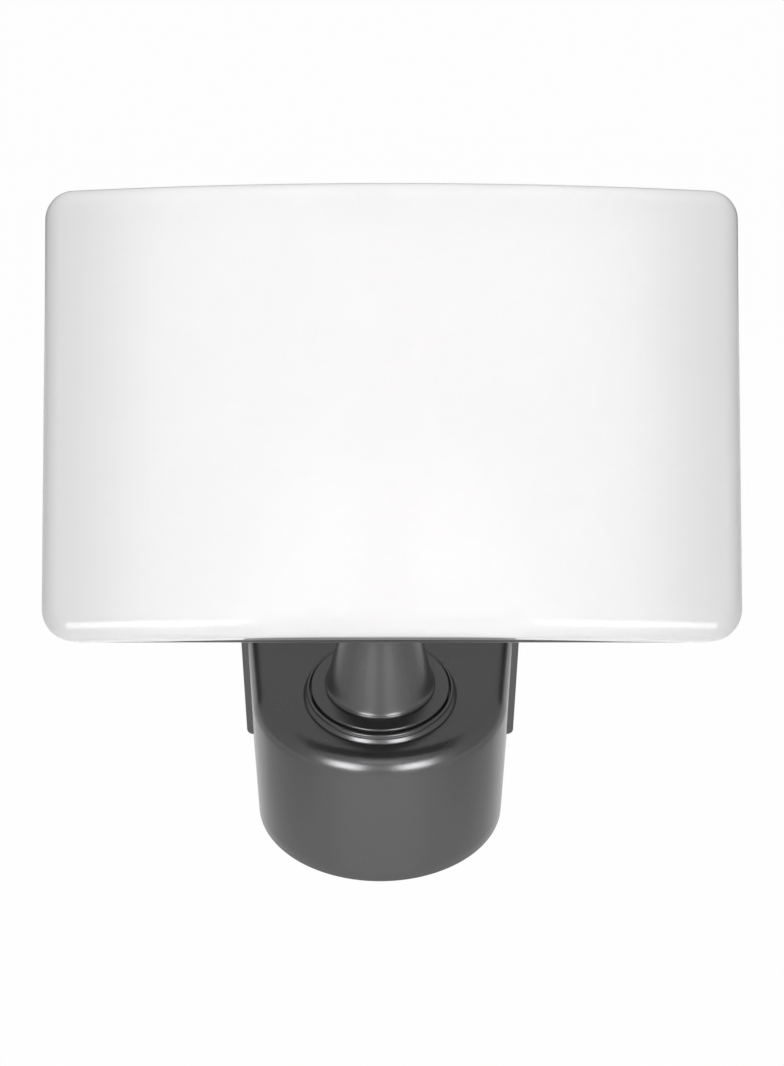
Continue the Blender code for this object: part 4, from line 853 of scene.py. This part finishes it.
def back_shell():
    """The tray behind the radome: two skins joined at the lip, a flat back, and a post at each screw."""
    edge, normal = head_edge()
    turn = np.radians(np.linspace(0, 90, 13))

    def skin(inset, roll, back, lip):
        rolled = inset + roll * (1 - np.cos(turn))
        around = np.concatenate(([lip + inset, inset], np.full(3, inset), rolled))
        straight = np.linspace(RIM + 0.0004, back - roll, 5)
        depth = np.concatenate(([RIM], straight[:-1], back - roll + roll * np.sin(turn)))
        return edge[None] - around[:, None, None] * normal[None], depth

    thick = INNER_BACK - BACK
    outer, outer_depth = skin(BACK_INSET, BACK_ROLL, BACK, 0.0004)
    inner, inner_depth = skin(BACK_INSET - thick, BACK_ROLL + thick, INNER_BACK, -0.0001)
    rows = np.concatenate((outer[::-1], inner))
    depth = np.concatenate((outer_depth[::-1], inner_depth))
    rows = rows + np.array((HEAD_OFFSET, 0.0))
    walls = sheet(upright(rows, depth[:, None], "Y"), loop_columns=True)
    well = [(0.0044, BACK), (0.0039, BACK - 0.0005), (0.0039, SHELL_SEAT), (0.0020, SHELL_SEAT),
            (0.0020, RIM), (0.0062, RIM), (0.0062, INNER_BACK)]
    holes = [(place, well) for place in SHELL_SCREWS]
    holes += [(place, [(BRACKET_HOLE, BACK), (BRACKET_HOLE, INNER_BACK)]) for place in BRACKET_SCREWS]
    holes.append((SOCKET, [(SOCKET_HOLE, BACK), (SOCKET_HOLE, INNER_BACK)]))
    patches = [walls]
    patches += [turned(profile, 40, "Y", place) for place, profile in holes]
    for end, level in ((0, BACK), (-1, INNER_BACK)):
        mouths = [circle(profile[end][0], 40, place) for place, profile in holes]
        patches.append(flat_face([rows[end], *mouths], level, "Y"))
    piece("back_shell", patches, "head", "dark_plastic")


def coax_socket():
    """The antenna socket: a flange inside the shell and a threaded barrel with a bore and a contact hole."""
    steps, barrel, thread_start = 72, 0.0048, BACK + 0.0030
    end, inner = BACK + 0.0120, INNER_BACK - SEAT_GAP
    flange = INNER_BACK - 0.0022 + SEAT_GAP
    rows = [(0.0, flange), (0.0068, flange), (0.0070, flange + 0.0002), (0.0070, inner), (barrel, inner),
            (barrel, thread_start)]
    rows += zip(*threaded(barrel, 0.00045, 0.0008, thread_start, end - 0.0006, steps, 6))
    rows += [(0.0043, end - 0.0002), (0.0040, end), (0.0025, end), (0.0022, end - 0.0003),
             (0.0022, end - 0.0070), (0.0007, end - 0.0070), (0.0006, end - 0.0066), (0.0006, end - 0.0100),
             (0.0, end - 0.0100)]
    piece("coax_socket", [lathed(*rings(rows, steps), "Y", SOCKET)], "head", "brass", 28)


# Array inside the head

STANDOFF_FRONT = INNER_BACK - SEAT_GAP - 0.0072
REFLECTOR_BACK = STANDOFF_FRONT - SEAT_GAP
REFLECTOR_FRONT = REFLECTOR_BACK - 0.0015
BOARD_BACK = INNER_BACK - 0.0022
BOARD_FRONT = BOARD_BACK - 0.0016
BAYS = tuple((HEAD_OFFSET + side * 0.0680, up * 0.0420) for up in (-1, 1) for side in (-1, 1))


def array_plates():
    """The reflector with its feed slots, the feed board and the four stand-offs that carry the reflector."""
    slots = [rounded_box(0.0060, 0.0030, 0.0010, (x, z + 0.0060), 5) for x, z in BAYS]
    holes = [plain_hole(place, BRACKET_HOLE, REFLECTOR_FRONT, REFLECTOR_BACK, 0.0002)
             for place in BRACKET_SCREWS]
    outline = rounded_box(0.1296, 0.0780, 0.0020, (HEAD_OFFSET, 0.0), 5)
    plate = slab(outline, REFLECTOR_FRONT, REFLECTOR_BACK, "Y", 0.0003, holes, slots)
    piece("reflector_plate", plate, "head", "aluminium")
    holes = [plain_hole(place, 0.0044, BOARD_FRONT, BOARD_BACK, 0.0001) for place in BRACKET_SCREWS]
    outline = rounded_box(0.1050, 0.0620, 0.0020, (HEAD_OFFSET, 0.0), 5)
    piece("feed_board", slab(outline, BOARD_FRONT, BOARD_BACK, "Y", 0.0001, holes), "head", "board")
    tube = eased(((0.0040, STANDOFF_FRONT, 0.0003), (0.0040, INNER_BACK - SEAT_GAP, 0.0003),
                  (BRACKET_HOLE, INNER_BACK - SEAT_GAP, 0.0), (BRACKET_HOLE, STANDOFF_FRONT, 0.0)), 4)
    for count, place in enumerate(BRACKET_SCREWS, start=1):
        piece(f"standoff_{count}", [turned(tube, 40, "Y", place, looped=True)], "head", "aluminium")


def director_comb(count, across, up):
    """One bay's boom with its two directors, as a thin plate."""
    half, boom, width = 0.0255, 0.0040, 0.0040
    outer = abs(across - HEAD_OFFSET) + half
    tip = FACE + CROWN * (outer / HEAD_TOP_HALF) ** 2 + RADOME_WALL + 0.0020
    first = tip + 0.0100
    foot = REFLECTOR_FRONT - SEAT_GAP
    right = np.array(((boom, foot), (boom, first + width), (half, first + width), (half, first),
                      (boom, first), (boom, tip + width), (0.0240, tip + width), (0.0240, tip)))
    outline = np.concatenate((right, right[::-1] * np.array((-1.0, 1.0))))[::-1] + np.array((across, 0.0))
    comb = slab(outline, up - 0.00075, up + 0.00075, "Z", 0.0002)
    piece(f"director_comb_{count}", comb, "head", "aluminium")


def dipole(count, across, up):
    """A folded dipole and its feed legs: a round wire carried along a path with bent corners.

    The section's frame is a fixed direction made square to the path at every station.
    """
    board, front = BOARD_FRONT - SEAT_GAP, REFLECTOR_FRONT - 0.0095
    leg, tip = -0.003, -0.029
    left = np.array(((leg, board, 0.0), (leg, front, 0.0), (tip, front, 0.0), (tip, front, 0.008)))
    nodes = np.concatenate((left, left[::-1] * np.array((-1.0, 1.0, 1.0))))
    back = np.roll(nodes, 1, axis=0)[1:-1] - nodes[1:-1]
    ahead = np.roll(nodes, -1, axis=0)[1:-1] - nodes[1:-1]
    cut = 0.0022
    start, end = nodes[1:-1] + cut * unit(back), nodes[1:-1] + cut * unit(ahead)
    late = np.linspace(0.0, 1.0, 7)[None, :, None]
    bends = bend(start[:, None], nodes[1:-1, None], end[:, None], late)
    path = np.concatenate((nodes[:1], bends.reshape(-1, 3), nodes[-1:]))
    ahead = unit(np.gradient(path, axis=0))
    guide = np.array((0.48, 0.62, 0.62))
    side = unit(guide - (ahead @ guide)[:, None] * ahead)
    other = np.cross(ahead, side)
    ring = circle(0.0012, 16)
    tube = path[:, None] + ring[None, :, :1] * side[:, None] + ring[None, :, 1:] * other[:, None]
    ends = np.repeat(path[[0, -1], None], 16, axis=1)
    grid = np.concatenate((ends[:1], tube, ends[1:])) + np.array((across, 0.0, up + 0.0060))
    piece(f"dipole_{count}", [sheet(grid, loop_columns=True)], "head", "brass")


def fasteners():
    """All the screws: under the cover, under the disc, through the bracket and in the back shell's wells."""
    small, disc = (0.0032, 0.0015, 0.0015), (0.0034, 0.0015, 0.0017)
    bracket, shell = (0.0038, 0.0024, 0.0019), (0.0034, 0.0022, 0.0017)
    under = COVER_SEAT - SEAT_GAP
    for count, place in enumerate(COVER_SCREWS[:3], start=1):
        screw(f"cover_screw_{count}", small, 0.0120, "wall_base", (*place, under), "Z", -1)
    for count, place in enumerate(COVER_SCREWS[3:], start=1):
        screw(f"lock_screw_{count}", small, 0.0065, "wall_base", (*place, under), "Z", -1)
    seat = 0.0020 - DISC_THICK
    for count, turn in enumerate(np.radians((90, 210, 330)), start=1):
        place = (0.0200 * math.cos(turn), 0.0200 * math.sin(turn), seat - SEAT_GAP)
        screw(f"stem_screw_{count}", disc, 0.0120 - seat, "stem", place, "Z", -1)
    back = BACK + SEAT_GAP + BRACKET_THICK + SEAT_GAP
    through = back - REFLECTOR_FRONT + 0.0015
    for count, place in enumerate(BRACKET_SCREWS, start=1):
        screw(f"bracket_screw_{count}", bracket, through, "head", (*place, back), "Y", 1)
    for count, place in enumerate(SHELL_SCREWS, start=1):
        screw(f"shell_screw_{count}", shell, 0.0160, "head", (*place, SHELL_SEAT + SEAT_GAP), "Y", 1)


base_housing()
mounting_plate()
bottom_cover()
bearing_ring()
swivel_disc()
bearing_inside()
stem()
tilt_knuckle()
head_bracket()
tilt_bolt()
hinge_washers()
nut("retaining_nut", 0.0430, CEILING - 0.0212, CEILING - 0.0142, SPIGOT_HOLE, "Z", (0.0, 0.0), "stem")
nut("tilt_nut", 0.0170, 0.0144, 0.0214, HINGE_BORE, "X", (0.0, 0.0), "head")
nut("socket_nut", 0.0125, BACK + SEAT_GAP, BACK + SEAT_GAP + 0.0024, SOCKET_HOLE, "Y", SOCKET, "head")
radome()
gasket()
back_shell()
coax_socket()
array_plates()
for number, (bay_across, bay_up) in enumerate(BAYS, start=1):
    director_comb(number, bay_across, bay_up)
    dipole(number, bay_across, bay_up)
fasteners()


# Stage: the strengths of the even fill, of the world and the panels in reflections, and of the gridded lamp

FILL = 0.16
MIRRORED = 0.62
PANEL = 2.2
POOL = 0.062
FLOOR_LEVEL = -0.42
HEAD_MIDDLE = (HEAD_OFFSET, -0.115, 0.19)
LAMP_AIM = (0.0, -0.115, 0.19)
HIGH_AIM = (0.0, -0.115, 0.25)


def floor():
    """A pale floor well below the part, white from above but for a little shade, and clear from below."""
    across = np.linspace(-4.0, 4.0, 17)
    ground = np.stack(np.meshgrid(across, across, indexing="xy"), axis=-1)
    points, faces = sheet(upright(ground, FLOOR_LEVEL, "Z"))
    mesh = bpy.data.meshes.new("floor")
    mesh.from_pydata(points.tolist(), [], faces[0].tolist())
    material = bpy.data.materials.new("floor_paper")
    material.use_nodes = True
    nodes, links = material.node_tree.nodes, material.node_tree.links
    nodes["Principled BSDF"].inputs["Base Color"].default_value = (0.86, 0.86, 0.86, 1.0)
    nodes["Principled BSDF"].inputs["Roughness"].default_value = 0.9
    glow = added(nodes, "Emission").outputs["Emission"]
    clear = added(nodes, "BsdfTransparent").outputs["BSDF"]
    below = added(nodes, "NewGeometry").outputs["Backfacing"]
    lit = nodes["Principled BSDF"].outputs["BSDF"]
    paper = mixed(nodes, links, seen_directly(nodes, links, 0.985), lit, glow)
    links.new(mixed(nodes, links, below, paper, clear), nodes["Material Output"].inputs["Surface"])
    mesh.materials.append(material)
    ground = put("floor", mesh)


def seen_directly(nodes, links, share):
    """A share for camera, glossy and transmission rays, and nothing for the rest."""
    path = added(nodes, "LightPath")
    seen = path.outputs["Is Camera Ray"]
    for ray in ("Is Glossy Ray", "Is Transmission Ray"):
        either = added(nodes, "Math")
        either.operation = "MAXIMUM"
        links.new(seen, either.inputs[0])
        links.new(path.outputs[ray], either.inputs[1])
        seen = either.outputs["Value"]
    scale = added(nodes, "Math")
    scale.operation = "MULTIPLY"
    scale.inputs[1].default_value = share
    links.new(seen, scale.inputs[0])
    return scale.outputs["Value"]


def surroundings():
    """The world: white to the camera, soft grey in reflections, and a dim even fill for the rest."""
    world = bpy.data.worlds.new("studio")
    world.use_nodes = True
    bpy.context.scene.world = world
    nodes, links = world.node_tree.nodes, world.node_tree.links
    path = added(nodes, "LightPath")
    nodes["Background"].inputs["Strength"].default_value = FILL
    shade = nodes["Background"].outputs["Background"]
    for ray, strength in (("Is Glossy Ray", MIRRORED), ("Is Camera Ray", 1.0)):
        plain = added(nodes, "Background", {"Strength": strength})
        shade = mixed(nodes, links, path.outputs[ray], shade, plain.outputs["Background"])
    for node in nodes:
        if node.type == "BACKGROUND":
            node.inputs["Color"].default_value = (1.0, 1.0, 1.0, 1.0)
    links.new(shade, nodes["World Output"].inputs["Surface"])


def card(name, corners, material):
    """A flat set piece between four corners, which lights and shows in reflections but not to the camera."""
    mesh = bpy.data.meshes.new(name)
    mesh.from_pydata(corners, [], [(0, 1, 2, 3)])
    mesh.materials.append(material)
    item = put(name, mesh)
    item.visible_camera = False


def dark_card():
    """A dark card behind the part, which gives its rolled edges their dark bands."""
    material = bpy.data.materials.new("card_black")
    material.use_nodes = True
    shader = material.node_tree.nodes["Principled BSDF"]
    shader.inputs["Base Color"].default_value = (0.03, 0.03, 0.03, 1.0)
    shader.inputs["Roughness"].default_value = 0.9
    card("dark_card", ((-1.6, 1.0, -0.15), (1.6, 1.0, -0.15), (1.6, 1.0, 0.48), (-1.6, 1.0, 0.48)), material)


def seen_from(azimuth, elevation, distance):
    """A place at a distance from the part, in a direction in degrees: to the right of the front, and up."""
    side, rise = math.radians(azimuth), math.radians(elevation)
    away = Vector((math.sin(side) * math.cos(rise), -math.cos(side) * math.cos(rise), math.sin(rise)))
    return away * distance


def glowing(name):
    """A material that only gives light, and its strength, which is still to be set."""
    material = bpy.data.materials.new(name)
    material.use_nodes = True
    nodes, links = material.node_tree.nodes, material.node_tree.links
    nodes.remove(nodes["Principled BSDF"])
    glow = added(nodes, "Emission")
    links.new(glow.outputs["Emission"], nodes["Material Output"].inputs["Surface"])
    return material, glow.inputs["Strength"]


def panel(name, side):
    """A dim panel beside the camera that shows as a soft shape in the glossy face, fading towards its top."""
    material, strength = glowing(name)
    nodes, links = material.node_tree.nodes, material.node_tree.links
    place = added(nodes, "TexCoord")
    split = added(nodes, "SeparateXYZ")
    links.new(place.outputs["Object"], split.inputs["Vector"])
    middle, distance = Vector(HEAD_MIDDLE), 1.2
    low, high = (seen_from(0, up, distance)[2] + middle[2] for up in (49, 53.5))
    links.new(spread(nodes, links, split.outputs["Z"], PANEL, MIRRORED, low, high), strength)
    directions = ((2.5, 36), (24, 36), (12, 54), (3, 54))
    corners = [tuple(middle + seen_from(side * across, up, distance)) for across, up in directions]
    card(name, corners, material)


def softbox(name, azimuth, elevation, distance, width, height, power, aim=(0.0, -0.09, 0.10)):
    """A rectangular lamp that faces a point on the part from a direction in degrees."""
    lamp = bpy.data.lights.new(name, "AREA")
    lamp.shape = "RECTANGLE"
    lamp.size = width
    lamp.size_y = height
    lamp.energy = power
    away = seen_from(azimuth, elevation, distance)
    stand = put(name, lamp)
    stand.location = Vector(aim) + away
    stand.rotation_euler = (-away).to_track_quat("-Z", "Y").to_euler()
    return stand


def gridded_lamp():
    """A lamp with a narrow grid that throws an even pool on the face and leaves its two sides dimmer."""
    stand = softbox("gridded_lamp", 0, 42, 0.9, 0.244, 0.32, POOL, HEAD_MIDDLE)
    stand.data.spread = math.radians(5.7)
    stand.visible_glossy = False


def reflector_board(name, corners, strength):
    """A board just above the floor that shows in the paint, brighter or dimmer than the floor round it."""
    material, glow = glowing(name)
    glow.default_value = strength
    card(name, [(x, y, FLOOR_LEVEL + 0.005) for x, y in corners], material)


def camera():
    """The photograph's view: from the front, thirty-five degrees above the horizon."""
    lens = bpy.data.cameras.new("camera")
    lens.sensor_width = 36.0
    lens.lens = 52.007
    lens.shift_x = 0.01116
    lens.clip_end = 50.0
    view = put("camera", lens)
    view.location = (0.0, -0.706458, 0.599943)
    view.rotation_euler = (math.radians(55), 0.0, 0.0)
    bpy.context.scene.camera = view


floor()
surroundings()
dark_card()
gridded_lamp()
overhead = softbox("overhead_softbox", 180, 70, 1.0, 0.9, 0.5, 5.2, HIGH_AIM)
overhead.visible_glossy = False
front = softbox("front_softbox", 0, 16, 1.3, 0.8, 0.6, 6.9, LAMP_AIM)
front.visible_glossy = False
reflector_board("front_board", ((-0.30, -0.42), (-0.30, -1.05), (0.30, -1.05), (0.30, -0.42)), 1.2)
for word, sign in (("left", -1), ("right", 1)):
    key = softbox(word + "_softbox", sign * 25, 12, 1.3, 0.52, 0.66, 10.2)
    key.visible_diffuse = False
    side = softbox(word + "_side_softbox", sign * 80, 22, 1.3, 0.6, 0.6, 0.62, LAMP_AIM)
    side.visible_glossy = False
    panel(word + "_panel", sign)
    beside = ((0.42, 0.15), (0.42, -0.50), (1.4, -0.70), (1.4, 0.15))
    ahead = ((0.22, -1.3), (0.42, -3.2), (1.5, -3.2), (0.70, -1.3))
    reflector_board(word + "_grey_board", [(sign * x, y) for x, y in beside], 0.76)
    reflector_board(word + "_board", [(sign * x, y) for x, y in ahead], 1.4)
camera()
bpy.context.scene.view_settings.view_transform = "Standard"
